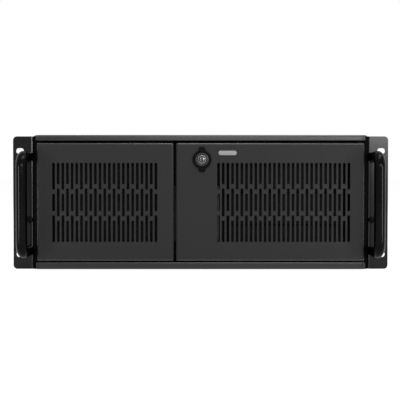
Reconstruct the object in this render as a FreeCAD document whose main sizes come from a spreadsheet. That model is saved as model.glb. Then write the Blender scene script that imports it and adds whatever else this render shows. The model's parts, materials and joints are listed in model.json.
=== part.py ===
"""Empty 4U rackmount server case with two perforated front doors.

Frame: +X is the case's right side seen from the front, the front faces -Y and +Z is up.
The origin is the centre of the four rack slots, on the rear face of the ears.
Every size is in millimetres, every angle in degrees.
"""
import FreeCAD, Part
import math
import os
import re
import Sketcher

Vector = FreeCAD.Vector

DIMENSIONS = {
    # rack interface and ears
    "rack_width": 482.6,
    "ear_height": 170.7,
    "ear_sheet": 2.5,
    "ear_flange": 38.0,
    "ear_bend": 3.0,
    "ear_corner": 5.0,
    "slot_spacing": 465.1,
    "slot_rise": 133.35,
    "slot_long": 10.3,
    "slot_wide": 7.0,
    # chassis
    "case_width": 430.0,
    "case_depth": 450.0,
    "case_low": -85.5,
    "case_high": 86.0,
    "sheet": 1.2,
    "front_edge": -2.4,
    "front_return": 9.0,
    "fold_play": 0.2,
    "floor_upstand": 12.0,
    "plate_front": 16.0,
    "plate_flange": 20.0,
    "rear_flange": 12.0,
    # bezel frame round the doors
    "bezel_half": 212.2,
    "bezel_low": -84.3,
    "bezel_high": 86.6,
    "bezel_front": -16.0,
    "bezel_bar_half": 209.4,
    "bezel_side": 2.0,
    "bezel_side_front": -6.0,
    "bezel_top_bar": 7.3,
    "bezel_foot_bar": 8.8,
    "bezel_wall": 1.2,
    "bezel_solid_end": 17.0,
    "bezel_round": 1.2,
    # doors
    "door_low": -74.5,
    "door_high": 77.0,
    "door_front": -14.2,
    "door_depth": 8.4,
    "door_round": 2.5,
    "door_outer": 208.8,
    "left_door_free": -33.9,
    "right_door_free": -31.7,
    "hinge_half": 203.4,
    "hinge_back": -9.2,
    "pin_radius": 2.0,
    "pin_play": 0.05,
    "pin_reach": 4.0,
    "collar_radius": 4.0,
    "collar_tall": 0.9,
    # staggered vent slots in the doors
    "vent_pitch": 5.92,
    "vent_wide": 3.3,
    "vent_tall": 100.5,
    "vent_gap": 5.5,
    "vent_short": 22.0,
    "vent_mid": 35.5,
    "vent_middle": 0.65,
    "left_vent_centre": -122.0,
    "left_vent_columns": 23,
    "right_vent_centre": 105.7,
    "right_vent_columns": 29,
    # handles
    "handle_half": 221.3,
    "handle_rise": 59.0,
    "handle_reach": 38.0,
    "handle_radius": 6.9,
    "handle_bend": 13.0,
    # key lock
    "lock_across": 1.8,
    "lock_rise": 55.3,
    "lock_barrel": 7.0,
    "lock_head": 8.3,
    "lock_head_front": -17.6,
    "lock_tail": 1.2,
    "plug_radius": 5.6,
    "plug_play": 0.05,
    "keyway_wide": 1.8,
    "keyway_tall": 7.0,
    "keyway_deep": 12.0,
    "rosette_radius": 12.0,
    "rosette_thick": 2.2,
    "rosette_lug": 4.5,
    "rosette_tall": 32.0,
    "lug_cut": 2.0,
    "clip_half": 10.5,
    "clip_thick": 1.5,
    "cam_thick": 2.0,
    "cam_reach": 29.0,
    "cam_half": 5.5,
    "cam_square": 6.0,
    "cam_lift": 0.3,
    "cam_corner": 2.5,
    "cam_nut": 4.6,
    "nut_thick": 2.0,
    "strike_left": -34.0,
    "strike_lip": -21.0,
    "strike_foot": -24.0,
    "strike_half": 11.0,
    "strike_sheet": 1.5,
    # status window and catches
    "window_across": 34.3,
    "window_rise": 63.6,
    "window_long": 25.0,
    "window_tall": 7.5,
    "window_lip": 1.0,
    "window_inset": 3.0,
    "window_play": 0.1,
    "window_proud": 0.8,
    "window_tail": 1.5,
    "lamp_block_wide": 26.0,
    "lamp_block_tall": 10.0,
    "lamp_block_deep": 6.0,
    "lamp_pitch": 8.0,
    "lamp_wide": 5.0,
    "lamp_tall": 3.0,
    "lamp_long": 4.0,
    "catch_inset": 9.0,
    "catch_wide": 14.0,
    "catch_tall": 14.8,
    "magnet_wide": 10.0,
    "magnet_lift": 4.0,
    "magnet_gap": 0.3,
    # drive cage
    "bay_left": 37.7,
    "bay_wide": 148.6,
    "bay_low": -72.8,
    "bay_pitch": 43.2,
    "cage_depth": 172.8,
    "ledge_wide": 6.0,
    "ledge_thick": 0.7,
    "bay_play": 0.05,
    "cage_slot_front": 60.0,
    "cage_slot_back": 140.0,
    "cage_slot_rise": 20.0,
    "cage_slot_half": 2.0,
    "blank_front": 12.0,
    "blank_deep": 14.0,
    "blank_wall": 2.0,
    "blank_play": 0.1,
    "blank_gap": 0.2,
    "blank_chamfer": 1.2,
    # filter
    "filter_half": 66.0,
    "filter_wall": 5.0,
    "filter_deep": 7.0,
    "filter_bar": 1.5,
    "filter_pitch": 39.0,
    "filter_cell": 37.0,
    "filter_play": 0.2,
    # fans
    "big_fan": 120.0,
    "small_fan": 80.0,
    "fan_deep": 25.0,
    "fan_wall": 2.0,
    "fan_play": 1.5,
    "fan_shy": 1.5,
    "fan_blades": 7,
    "hub_share": 6.0,
    "root_share": 13.0,
    "tip_share": 7.0,
    "root_sunk": 2.0,
    "strut_thick": 3.0,
    "strut_half": 2.0,
    "rotor_gap": 0.5,
    "blade_pitch": 30.0,
    "blade_thick": 1.2,
    "small_fan_rise": 37.5,
    "small_fan_inner": 78.0,
    "small_fan_outer": 160.0,
    "grille_pitch": 8.0,
    "grille_slot": 5.0,
    "grille_margin": 2.0,
    # rear plate
    "io_left": 40.0,
    "io_wide": 158.75,
    "io_low": -79.0,
    "io_tall": 44.45,
    "card_first": 24.0,
    "card_pitch": 20.32,
    "card_open": 13.0,
    "card_low": -76.0,
    "card_tall": 104.0,
    "card_vent_low": 48.0,
    "card_vent_tall": 26.0,
    "card_blank_wide": 18.4,
    "card_blank_sheet": 0.8,
    "card_blank_over": 8.0,
    "card_blank_under": 4.0,
    "card_tab": 10.2,
    "supply_left": -199.0,
    "supply_wide": 78.0,
    "supply_tall": 140.0,
    # cover
    "cover_skirt": 16.0,
    "cover_play": 0.1,
    "cover_step": 2.0,
    "cover_inset": 0.4,
    "thumb_half": 203.0,
    "thumb_rise": 79.6,
    "thumb_radius": 5.5,
    "thumb_long": 8.0,
    # control panel
    "panel_left": -36.0,
    "panel_wide": 60.0,
    "panel_low": -51.0,
    "panel_tall": 72.0,
    "panel_thick": 3.0,
    "panel_skirt": 8.0,
    "panel_land": 6.0,
    "panel_wall": 1.8,
    "button_across": -6.0,
    "power_rise": 4.0,
    "power_wide": 9.0,
    "power_tall": 5.0,
    "reset_rise": -13.0,
    "reset_wide": 4.0,
    "reset_tall": 3.0,
    "button_play": 0.3,
    "button_collar": 1.2,
    "button_chamfer": 0.6,
    "power_proud": 6.0,
    "reset_proud": 4.0,
    "panel_board": 1.6,
    "panel_board_inset": 7.0,
    "switch_half": 3.0,
    "switch_deep": 3.6,
    "socket_upper": -28.0,
    "socket_lower": -38.0,
    "socket_half_wide": 6.6,
    "socket_half_tall": 2.8,
    "socket_play": 0.2,
    "socket_wall": 0.5,
    "socket_back": 1.0,
    "socket_proud": 0.3,
    "tongue_half": 5.5,
    "tongue_thick": 1.6,
    # board, supply and wall supports
    "standoff_flats": 6.0,
    "standoff_tall": 6.5,
    "board_right": 199.0,
    "board_back": 425.0,
    "board_column": 124.46,
    "board_far_column": 281.94,
    "board_row": 154.94,
    "board_far_row": 227.33,
    "brace_front": 206.0,
    "brace_wide": 20.0,
    "brace_deep": 13.0,
    "rest_across": -115.8,
    "rest_foot": 11.8,
    "rest_high": 30.0,
    "rest_front": 300.0,
    "rest_long": 125.0,
}

NORMAL = {"XY_Plane": 1, "XZ_Plane": -1, "YZ_Plane": 1}

DOC = FreeCAD.newDocument("RackCase")
PARTS = []


def make_sheet():
    """Spreadsheet with one named cell for each driving dimension."""
    sheet = DOC.addObject("Spreadsheet::Sheet", "Dims")
    for row, (alias, number) in enumerate(DIMENSIONS.items(), start=1):
        sheet.set(f"A{row}", alias)
        sheet.set(f"B{row}", str(number))
        sheet.setAlias(f"B{row}", alias)
    DOC.recompute()
    return sheet


SHEET = make_sheet()


def link(expression):
    """Expression text with each dimension's name turned into a reference to its cell."""
    def reference(word):
        return "Dims." + word.group() if word.group() in DIMENSIONS else word.group()
    return re.sub(r"[a-z_]+", reference, str(expression))


def value(expression):
    """Number that an expression over the dimensions gives."""
    return float(SHEET.evalExpression(link(expression)))


def bind(thing, **properties):
    """Bind properties of an object to expressions; x, y and z are its place."""
    for name, expression in properties.items():
        path = f"Placement.Base.{name}" if name in ("x", "y", "z") else name
        thing.setExpression(path, link(expression))
    return thing


def keep(label, thing):
    """Label a finished sub-part and list it for export."""
    thing.Label = label
    PARTS.append(thing)
    return thing


# ---------------------------------------------------------------- sketches and features

def new_body(name):
    return DOC.addObject("PartDesign::Body", name)


def new_sketch(body, name, role, at="0"):
    """Sketch on a plane parallel to one of the body's origin planes, at a distance along its axis."""
    sketch = body.newObject("Sketcher::SketchObject", f"{body.Name}_{name}")
    plane = [item for item in body.Origin.OriginFeatures if item.Role == role][0]
    sketch.AttachmentSupport = [(plane, "")]
    sketch.MapMode = "FlatFace"
    sketch.setExpression("AttachmentOffset.Base.z", link(f"{NORMAL[role]} * ({at})"))
    return sketch


def fix_point(sketch, geometry, vertex, across, up):
    """Tie a sketch point to the origin by two bound distances."""
    for kind, expression in (("DistanceX", across), ("DistanceY", up)):
        constraint = Sketcher.Constraint(kind, -1, 1, geometry, vertex, value(expression))
        index = sketch.addConstraint(constraint)
        sketch.setExpression(f"Constraints[{index}]", link(expression))


def add_polygon(sketch, points):
    first = sketch.GeometryCount
    corners = [Vector(value(across), value(up), 0) for across, up in points]
    for start, end in zip(corners, corners[1:] + corners[:1]):
        sketch.addGeometry(Part.LineSegment(start, end))
    for i, (across, up) in enumerate(points):
        following = first + (i + 1) % len(points)
        sketch.addConstraint(Sketcher.Constraint("Coincident", first + i, 2, following, 1))
        fix_point(sketch, first + i, 1, across, up)


def add_rectangle(sketch, left, right, low, high):
    add_polygon(sketch, [(left, low), (right, low), (right, high), (left, high)])


def regular_polygon(sides, radius):
    """Corners of a regular polygon round the origin, as expressions."""
    turn = 360 / sides
    return [(f"({radius}) * cos({turn * k})", f"({radius}) * sin({turn * k})") for k in range(sides)]


def add_circle(sketch, across, up, radius):
    circle = Part.Circle(Vector(value(across), value(up), 0), Vector(0, 0, 1), value(radius))
    index = sketch.addGeometry(circle)
    fix_point(sketch, index, 3, across, up)
    limit = sketch.addConstraint(Sketcher.Constraint("Radius", index, value(radius)))
    sketch.setExpression(f"Constraints[{limit}]", link(radius))


def add_obround(sketch, across, up, long, wide):
    """Slot with round ends, long along the sketch's first axis."""
    reach = f"(({long}) - ({wide})) / 2"
    radius = value(f"({wide}) / 2")
    ends = [(f"({across}) + {reach}", -math.pi / 2), (f"({across}) - {reach}", math.pi / 2)]
    arcs = []
    for centre, start in ends:
        circle = Part.Circle(Vector(value(centre), value(up), 0), Vector(0, 0, 1), radius)
        arcs.append(sketch.addGeometry(Part.ArcOfCircle(circle, start, start + math.pi)))
        fix_point(sketch, arcs[-1], 3, centre, up)
        limit = sketch.addConstraint(Sketcher.Constraint("Radius", arcs[-1], radius))
        sketch.setExpression(f"Constraints[{limit}]", link(f"({wide}) / 2"))
    for here, there in (arcs, arcs[::-1]):
        start = sketch.Geometry[here].EndPoint
        end = sketch.Geometry[there].StartPoint
        line = sketch.addGeometry(Part.LineSegment(start, end))
        sketch.addConstraint(Sketcher.Constraint("Tangent", here, 2, line, 1))
        sketch.addConstraint(Sketcher.Constraint("Tangent", there, 1, line, 2))


def finish_feature(body, feature):
    body.Tip = feature
    DOC.recompute()
    return feature


def pad(body, sketch, depth, toward=1):
    """Pad a sketch by a depth, toward the positive or negative end of its plane's axis."""
    feature = body.newObject("PartDesign::Pad", sketch.Name + "_pad")
    feature.Profile = sketch
    feature.setExpression("Length", link(depth))
    feature.Reversed = toward != NORMAL[sketch.AttachmentSupport[0][0].Role]
    return finish_feature(body, feature)


def pocket(body, sketch, depth, toward=1):
    """Cut a sketch into the body, toward the positive or negative end of its plane's axis."""
    before = body.Shape.Volume
    feature = body.newObject("PartDesign::Pocket", sketch.Name + "_pocket")
    feature.Profile = sketch
    feature.setExpression("Length", link(depth))
    feature.Reversed = toward == NORMAL[sketch.AttachmentSupport[0][0].Role]
    finish_feature(body, feature)
    if body.Shape.Volume >= before:
        raise RuntimeError(f"{feature.Name} removed nothing")
    return feature


def revolve(body, sketch, axis="V_Axis"):
    feature = body.newObject("PartDesign::Revolution", sketch.Name + "_turned")
    feature.Profile = sketch
    feature.ReferenceAxis = (sketch, [axis])
    feature.Angle = 360
    return finish_feature(body, feature)


def round_edges(body, name, radius, chosen):
    """Fillet the edges of the body's tip whose middle point passes a test."""
    base = body.Tip
    edges = []
    for number, edge in enumerate(base.Shape.Edges, start=1):
        middle = edge.valueAt((edge.FirstParameter + edge.LastParameter) / 2)
        if chosen(middle, edge):
            edges.append(f"Edge{number}")
    feature = body.newObject("PartDesign::Fillet", f"{body.Name}_{name}")
    feature.Base = (base, edges)
    feature.setExpression("Radius", link(radius))
    return finish_feature(body, feature)


def chamfer_rim(body, size, front):
    """Chamfer the rim of the body's tip where it faces forward."""
    base = body.Tip
    rim = [f"Edge{number}" for number, edge in enumerate(base.Shape.Edges, start=1)
           if near(edge.BoundBox.YMin, front) and near(edge.BoundBox.YMax, front)]
    feature = body.newObject("PartDesign::Chamfer", f"{body.Name}_rim")
    feature.Base = (base, rim)
    feature.setExpression("Size", link(size))
    return finish_feature(body, feature)


def near(number, expression):
    return abs(number - value(expression)) < 0.01


def runs_along(edge, axis):
    """Whether a straight edge runs along an axis, given as 0, 1 or 2."""
    if edge.Curve.TypeId != "Part::GeomLine":
        return False
    return abs(edge.Curve.Direction[axis]) > 0.999


def repeat_along_x(body, name, feature, pitch, count):
    pattern = body.newObject("PartDesign::LinearPattern", f"{body.Name}_{name}")
    pattern.Originals = [feature]
    axis = [item for item in body.Origin.OriginFeatures if item.Role == "X_Axis"][0]
    pattern.Direction = (axis, [""])
    pattern.setExpression("Occurrences", link(count))
    pattern.setExpression("Length", link(f"({pitch}) * (({count}) - 1)"))
    before = body.Shape.Volume
    finish_feature(body, pattern)
    if abs(body.Shape.Volume - before) < 1:
        raise RuntimeError(f"{pattern.Name} changed nothing")
    return pattern


# ---------------------------------------------------------------- primitives

def make_box(name, left, right, front, back, low, high):
    box = DOC.addObject("Part::Box", name)
    bind(box, Length=f"({right}) - ({left})", Width=f"({back}) - ({front})", Height=f"({high}) - ({low})")
    return bind(box, x=left, y=front, z=low)


def make_post(name, radius, across, back, low, high):
    """Cylinder whose axis runs along Z."""
    post = DOC.addObject("Part::Cylinder", name)
    bind(post, Radius=radius, Height=f"({high}) - ({low})")
    return bind(post, x=across, y=back, z=low)


def make_fuse(name, pieces):
    fuse = DOC.addObject("Part::MultiFuse", name)
    fuse.Shapes = pieces
    return fuse


def make_group(name, pieces):
    """Identical loose pieces kept as separate solids of one sub-part."""
    group = DOC.addObject("Part::Compound", name)
    group.Links = pieces
    return group


# ---------------------------------------------------------------- chassis

HALF = "case_width / 2"
INNER = "(case_width / 2 - sheet)"
FLOOR = "(case_low + sheet)"
SILL = "(case_high - sheet)"
CARD_SLOTS = 7


def base_tray():
    """Floor and both side walls folded from one sheet, with returns round the front."""
    body = new_body("base_tray")
    walls = new_sketch(body, "walls", "XZ_Plane", "front_edge")
    add_polygon(walls, [
        (f"-{HALF}", "case_low"), (HALF, "case_low"), (HALF, SILL), (INNER, SILL),
        (INNER, FLOOR), (f"-{INNER}", FLOOR), (f"-{INNER}", SILL), (f"-{HALF}", SILL)])
    pad(body, walls, "case_depth - front_edge")
    returns = new_sketch(body, "returns", "XZ_Plane", "front_edge")
    edge = "(case_width / 2 - front_return)"
    top = f"({FLOOR} + floor_upstand)"
    add_polygon(returns, [
        (f"-{INNER}", FLOOR), (INNER, FLOOR), (INNER, SILL), (edge, SILL),
        (edge, top), (f"-{edge}", top), (f"-{edge}", SILL), (f"-{INNER}", SILL)])
    pad(body, returns, "sheet")
    round_edges(body, "bends", "sheet", lambda p, e: runs_along(e, 1) and near(p.z, "case_low"))
    keep("base_tray", body)


def front_plate():
    """Inner front wall behind the doors, with its openings and folded flanges."""
    body = new_body("front_plate")
    plate = new_sketch(body, "plate", "XZ_Plane", "plate_front")
    add_rectangle(plate, f"-{INNER}", INNER, FLOOR, SILL)
    opening = regular_polygon(8, "big_fan / 2 - fan_wall / 2")
    add_polygon(plate, [(f"left_vent_centre + {x}", f"vent_middle + {z}") for x, z in opening])
    add_rectangle(plate, "bay_left", "bay_left + bay_wide", "bay_low", "bay_low + 3 * bay_pitch")
    add_rectangle(plate, "panel_left + panel_land", "panel_left + panel_wide - panel_land",
                  "panel_low + panel_land", "panel_low + panel_tall - panel_land")
    pad(body, plate, "sheet")
    hood = new_sketch(body, "hood", "XZ_Plane", "plate_front")
    edge = "(case_width / 2 - front_return - 2 * fold_play)"
    add_rectangle(hood, f"-{edge}", edge, f"{SILL} - sheet", SILL)
    pad(body, hood, "plate_front - front_edge", toward=-1)
    sides = new_sketch(body, "sides", "XZ_Plane", "plate_front + sheet")
    for sign in ("-", ""):
        inner = f"{sign}({INNER} - sheet)"
        outer = f"{sign}{INNER}"
        left, right = (outer, inner) if sign else (inner, outer)
        add_rectangle(sides, left, right, FLOOR, f"{SILL} - sheet")
    pad(body, sides, "plate_flange")
    keep("front_plate", body)


def rear_plate():
    """Rear wall with the board aperture, card slots, power supply opening and fan grilles."""
    body = new_body("rear_plate")
    face = "case_depth - sheet"
    plate = new_sketch(body, "plate", "XZ_Plane", face)
    add_rectangle(plate, f"-{INNER}", INNER, FLOOR, SILL)
    add_rectangle(plate, "io_left", "io_left + io_wide", "io_low", "io_low + io_tall")
    add_rectangle(plate, "supply_left", "supply_left + supply_wide", "-supply_tall / 2", "supply_tall / 2")
    pad(body, plate, "sheet")
    flanges = new_sketch(body, "flanges", "XZ_Plane", face)
    add_rectangle(flanges, f"-{INNER}", INNER, FLOOR, SILL)
    add_rectangle(flanges, f"-{INNER} + sheet", f"{INNER} - sheet", f"{FLOOR} + sheet", f"{SILL} - sheet")
    pad(body, flanges, "rear_flange", toward=-1)
    cards = new_sketch(body, "cards", "XZ_Plane", face)
    last = f"card_first - {CARD_SLOTS - 1} * card_pitch"
    for low, tall in (("card_low", "card_tall"), ("card_vent_low", "card_vent_tall")):
        add_rectangle(cards, f"{last} - card_open / 2", f"{last} + card_open / 2", low, f"{low} + {tall}")
    repeat_along_x(body, "card_slots", pocket(body, cards, "sheet"), "card_pitch", CARD_SLOTS)
    grille = new_sketch(body, "grille", "XZ_Plane", face)
    for row in range(-4, 5):
        half = f"sqrt((small_fan / 2 - grille_margin)^2 - ({row} * grille_pitch)^2)"
        middle = f"small_fan_rise + {row} * grille_pitch"
        add_rectangle(grille, f"small_fan_inner - {half}", f"small_fan_inner + {half}",
                      f"{middle} - grille_slot / 2", f"{middle} + grille_slot / 2")
    repeat_along_x(body, "grilles", pocket(body, grille, "sheet"),
                   "small_fan_outer - small_fan_inner", "2")
    keep("rear_plate", body)


def top_cover():
    """Lid with side skirts outside the walls and a rear flange for the thumbscrews."""
    body = new_body("top_cover")
    outer = f"({HALF} + cover_play + sheet)"
    inner = f"({HALF} + cover_play)"
    low = f"({SILL} - cover_skirt)"
    step = "ear_flange + cover_step"
    skirt = new_sketch(body, "skirt", "XZ_Plane", step)
    add_polygon(skirt, [
        (f"-{outer}", low), (f"-{inner}", low), (f"-{inner}", SILL), (inner, SILL),
        (inner, low), (outer, low), (outer, "case_high"), (f"-{outer}", "case_high")])
    pad(body, skirt, f"case_depth + cover_play + sheet - ({step})")
    front = new_sketch(body, "front", "XZ_Plane", step)
    add_rectangle(front, f"-{HALF} + fold_play", f"{HALF} - fold_play", SILL, "case_high")
    pad(body, front, f"{step} - front_edge - cover_inset", toward=-1)
    rear = new_sketch(body, "rear", "XZ_Plane", "case_depth + cover_play")
    add_rectangle(rear, f"-{outer}", outer, low, SILL)
    pad(body, rear, "sheet")
    round_edges(body, "bends", "sheet",
                lambda p, e: runs_along(e, 1) and near(p.z, "case_high") and p.y > value(step))
    keep("top_cover", body)


def make_prism(name, sides, radius, across, up, front, back):
    """Many-sided bar whose axis runs along Y."""
    prism = DOC.addObject("Part::Prism", name)
    prism.Polygon = sides
    prism.Placement = FreeCAD.Placement(Vector(), FreeCAD.Rotation(Vector(1, 0, 0), -90))
    bind(prism, Circumradius=radius, Height=f"({back}) - ({front})")
    return bind(prism, x=across, y=front, z=up)


def cover_thumbscrews():
    """Knurled heads on the cover's rear flange."""
    screws = []
    back = "(case_depth + cover_play + sheet)"
    for side, sign in (("left", "-"), ("right", "")):
        screws.append(make_prism(f"thumb_grip_{side}", 16, "thumb_radius", f"{sign}thumb_half", "thumb_rise",
                                 back, f"{back} + thumb_long"))
    keep("cover_thumbscrews", make_group("cover_thumbscrews", screws))


def cross_brace():
    """Channel across the case that stiffens the walls and carries the lid."""
    body = new_body("cross_brace")
    profile = new_sketch(body, "profile", "YZ_Plane", f"-{INNER}")
    top = f"({SILL} - fold_play)"
    back = "brace_front + brace_wide"
    foot = f"{top} - brace_deep"
    add_polygon(profile, [
        ("brace_front", foot), ("brace_front", top), (back, top), (back, foot),
        (f"{back} - sheet", foot), (f"{back} - sheet", f"{top} - sheet"),
        ("brace_front + sheet", f"{top} - sheet"), ("brace_front + sheet", foot)])
    pad(body, profile, "case_width - 2 * sheet")
    keep("cross_brace", body)


def psu_bracket():
    """Angle beside the power supply's place, standing on the floor."""
    body = new_body("psu_bracket")
    profile = new_sketch(body, "profile", "XZ_Plane", "rest_front")
    toe = "rest_across + rest_foot"
    add_polygon(profile, [
        ("rest_across", FLOOR), (toe, FLOOR), (toe, f"{FLOOR} + sheet"),
        ("rest_across + sheet", f"{FLOOR} + sheet"), ("rest_across + sheet", "rest_high"),
        ("rest_across", "rest_high")])
    pad(body, profile, "rest_long")
    keep("psu_bracket", body)


def standoffs():
    """Nine hexagonal board supports in the ATX pattern."""
    posts = []
    for column, across in enumerate(("0", "board_column", "board_far_column")):
        for row, back in enumerate(("0", "board_row", "board_far_row")):
            post = DOC.addObject("Part::Prism", f"standoff_{column}_{row}")
            post.Polygon = 6
            bind(post, Circumradius="standoff_flats / sqrt(3)", Height="standoff_tall")
            bind(post, x=f"board_right - {across}", y=f"board_back - {back}", z=FLOOR)
            posts.append(post)
    keep("standoffs", make_group("standoffs", posts))


# ---------------------------------------------------------------- bezel and doors

def bezel_frame():
    """Frame round both doors: hollow top and bottom bars joined by thin side bars set back."""
    body = new_body("bezel_frame")
    depth = "(front_edge - bezel_front)"
    side = "(bezel_half - bezel_side)"
    low = "(bezel_low + bezel_foot_bar)"
    high = "(bezel_high - bezel_top_bar)"
    ring = new_sketch(body, "ring", "XZ_Plane", "bezel_front")
    add_rectangle(ring, "-bezel_half", "bezel_half", "bezel_low", "bezel_high")
    add_rectangle(ring, f"-{side}", side, low, high)
    pad(body, ring, depth)
    channels = new_sketch(body, "channels", "XZ_Plane", "front_edge")
    end = "(bezel_half - bezel_solid_end)"
    add_rectangle(channels, f"-{end}", end, f"{high} + bezel_wall", f"{SILL} - sheet - fold_play")
    add_rectangle(channels, f"-{end}", end, "bezel_low + bezel_wall", f"{low} - bezel_wall")
    pocket(body, channels, f"{depth} - bezel_wall", toward=-1)
    recess = new_sketch(body, "recess", "XZ_Plane", "bezel_front")
    add_rectangle(recess, "-bezel_half", "-bezel_bar_half", "bezel_low", "bezel_high")
    add_rectangle(recess, "bezel_bar_half", "bezel_half", "bezel_low", "bezel_high")
    pocket(body, recess, "bezel_side_front - bezel_front")
    round_edges(body, "front_edges", "bezel_round",
                lambda p, e: near(p.y, "bezel_front") and (
                    near(abs(p.x), "bezel_bar_half") or near(p.z, "bezel_low") or near(p.z, "bezel_high")))
    keep("bezel_frame", body)


def hinge_pins():
    """Two studs on the frame for each door; the lower ones carry it on a collar."""
    pins = []
    low = "(bezel_low + bezel_foot_bar)"
    high = "(bezel_high - bezel_top_bar)"
    for side, sign in (("left", "-"), ("right", "")):
        across = f"{sign}hinge_half"
        pins.append(make_post(f"upper_pin_{side}", "pin_radius", across, "hinge_back",
                              "door_high - pin_reach", high))
        shank = make_post(f"lower_shank_{side}", "pin_radius", across, "hinge_back",
                          f"{low} + collar_tall", "door_low + pin_reach")
        collar = DOC.addObject("Part::Prism", f"lower_collar_{side}")
        collar.Polygon = 6
        bind(collar, Circumradius="collar_radius", Height="collar_tall")
        bind(collar, x=across, y="hinge_back", z=low)
        pins.append(make_fuse(f"lower_pin_{side}", [shank, collar]))
    keep("hinge_pins", make_group("hinge_pins", pins))


def vent_column(body, name, across, heights):
    """One column of three upright slots, cut through the door's face."""
    sketch = new_sketch(body, name, "XZ_Plane", "door_front")
    low = "vent_middle - vent_tall / 2"
    for height in heights:
        add_rectangle(sketch, f"{across} - vent_wide / 2", f"{across} + vent_wide / 2",
                      low, f"{low} + {height}")
        low = f"{low} + {height} + vent_gap"
    return pocket(body, sketch, "sheet")


def door_pan(name, left, right, vent_centre, vent_columns):
    """Door folded from one sheet: a face with four returns, pierced by the staggered vents."""
    body = new_body(name)
    face = new_sketch(body, "face", "XZ_Plane", "door_front")
    add_rectangle(face, left, right, "door_low", "door_high")
    pad(body, face, "door_depth")
    round_edges(body, "bends", "door_round", lambda p, e: near(p.y, "door_front"))
    inside = new_sketch(body, "inside", "XZ_Plane", "door_front + door_depth")
    add_rectangle(inside, f"{left} + sheet", f"{right} - sheet", "door_low + sheet", "door_high - sheet")
    pocket(body, inside, "door_depth - sheet", toward=-1)
    first = f"({vent_centre} - ({vent_columns} - 1) / 2 * vent_pitch)"
    long = "(vent_tall - vent_short - 2 * vent_gap) / 2"
    medium = "(vent_tall - vent_mid - 2 * vent_gap) / 2"
    odd = vent_column(body, "odd_column", first, (long, "vent_short", long))
    repeat_along_x(body, "odd_columns", odd, "2 * vent_pitch", f"({vent_columns} + 1) / 2")
    even = vent_column(body, "even_column", f"({first} + vent_pitch)", (medium, "vent_mid", medium))
    repeat_along_x(body, "even_columns", even, "2 * vent_pitch", f"({vent_columns} - 1) / 2")
    return body


def hinge_holes(body, across):
    for name, level, toward in (("upper", "door_high", -1), ("lower", "door_low", 1)):
        hole = new_sketch(body, f"{name}_hole", "XY_Plane", level)
        add_circle(hole, across, "hinge_back", "pin_radius + pin_play")
        pocket(body, hole, "sheet", toward=toward)


def left_door():
    body = door_pan("left_door", "-door_outer", "left_door_free", "left_vent_centre", "left_vent_columns")
    hinge_holes(body, "-hinge_half")
    keep("left_door", body)


def window_plug(play):
    """Sides of the window's straight middle, which goes through the door, less a play all round."""
    long = f"(window_long / 2 - window_inset - {play})"
    tall = f"(window_tall / 2 - window_lip - {play})"
    return (f"window_across - {long}", f"window_across + {long}",
            f"window_rise - {tall}", f"window_rise + {tall}")


def right_door():
    """Wider door, also pierced for the lock and the status window."""
    body = door_pan("right_door", "right_door_free", "door_outer", "right_vent_centre", "right_vent_columns")
    hinge_holes(body, "hinge_half")
    holes = new_sketch(body, "holes", "XZ_Plane", "door_front")
    add_circle(holes, "lock_across", "lock_rise", "lock_barrel + plug_play")
    add_rectangle(holes, *window_plug("0"))
    pocket(body, holes, "sheet")
    keep("right_door", body)


def status_window():
    """Light pipe with a lip on the door's face and a plug through it."""
    body = new_body("status_window")
    lip = new_sketch(body, "lip", "XZ_Plane", "door_front")
    add_obround(lip, "window_across", "window_rise", "window_long", "window_tall")
    pad(body, lip, "window_proud", toward=-1)
    plug = new_sketch(body, "plug", "XZ_Plane", "door_front")
    add_rectangle(plug, *window_plug("window_play"))
    pad(body, plug, "sheet + window_tail")
    keep("status_window", body)


CATCHES = {"left": "left_door_free - catch_inset", "right": "right_door_free + catch_inset"}


def catch_plates():
    """Steel strikes for the magnets, one standing on each door's lower return."""
    back = "(door_front + door_depth)"
    for side, across in CATCHES.items():
        low = "door_low + sheet"
        plate = make_box(f"{side}_catch_plate", f"{across} - catch_wide / 2", f"{across} + catch_wide / 2",
                         f"{back} - sheet", back, low, f"{low} + catch_tall")
        keep(f"{side}_catch_plate", plate)


def door_magnets():
    blocks = []
    front = "door_front + door_depth + magnet_gap"
    low = "door_low + magnet_lift"
    for side, across in CATCHES.items():
        blocks.append(make_box(f"magnet_{side}", f"{across} - magnet_wide / 2", f"{across} + magnet_wide / 2",
                               front, "plate_front", low, f"{low} + magnet_wide"))
    keep("door_magnets", make_group("door_magnets", blocks))


# ---------------------------------------------------------------- key lock

def lock_rosette():
    """Round plate under the lock's head, with a rounded lug above and below."""
    body = new_body("lock_rosette")
    disc = new_sketch(body, "disc", "XZ_Plane")
    add_circle(disc, "0", "0", "rosette_radius")
    pad(body, disc, "rosette_thick", toward=-1)
    lugs = new_sketch(body, "lugs", "XZ_Plane")
    half = "rosette_tall / 2"
    add_polygon(lugs, [
        ("-rosette_lug", f"-{half} + lug_cut"), ("-rosette_lug + lug_cut", f"-{half}"),
        ("rosette_lug - lug_cut", f"-{half}"), ("rosette_lug", f"-{half} + lug_cut"),
        ("rosette_lug", f"{half} - lug_cut"), ("rosette_lug - lug_cut", half),
        ("-rosette_lug + lug_cut", half), ("-rosette_lug", f"{half} - lug_cut")])
    pad(body, lugs, "rosette_thick", toward=-1)
    bore = new_sketch(body, "bore", "XZ_Plane", "-rosette_thick")
    add_circle(bore, "0", "0", "lock_barrel + plug_play")
    pocket(body, bore, "rosette_thick")
    bind(body, x="lock_across", y="door_front", z="lock_rise")
    keep("lock_rosette", body)


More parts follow.
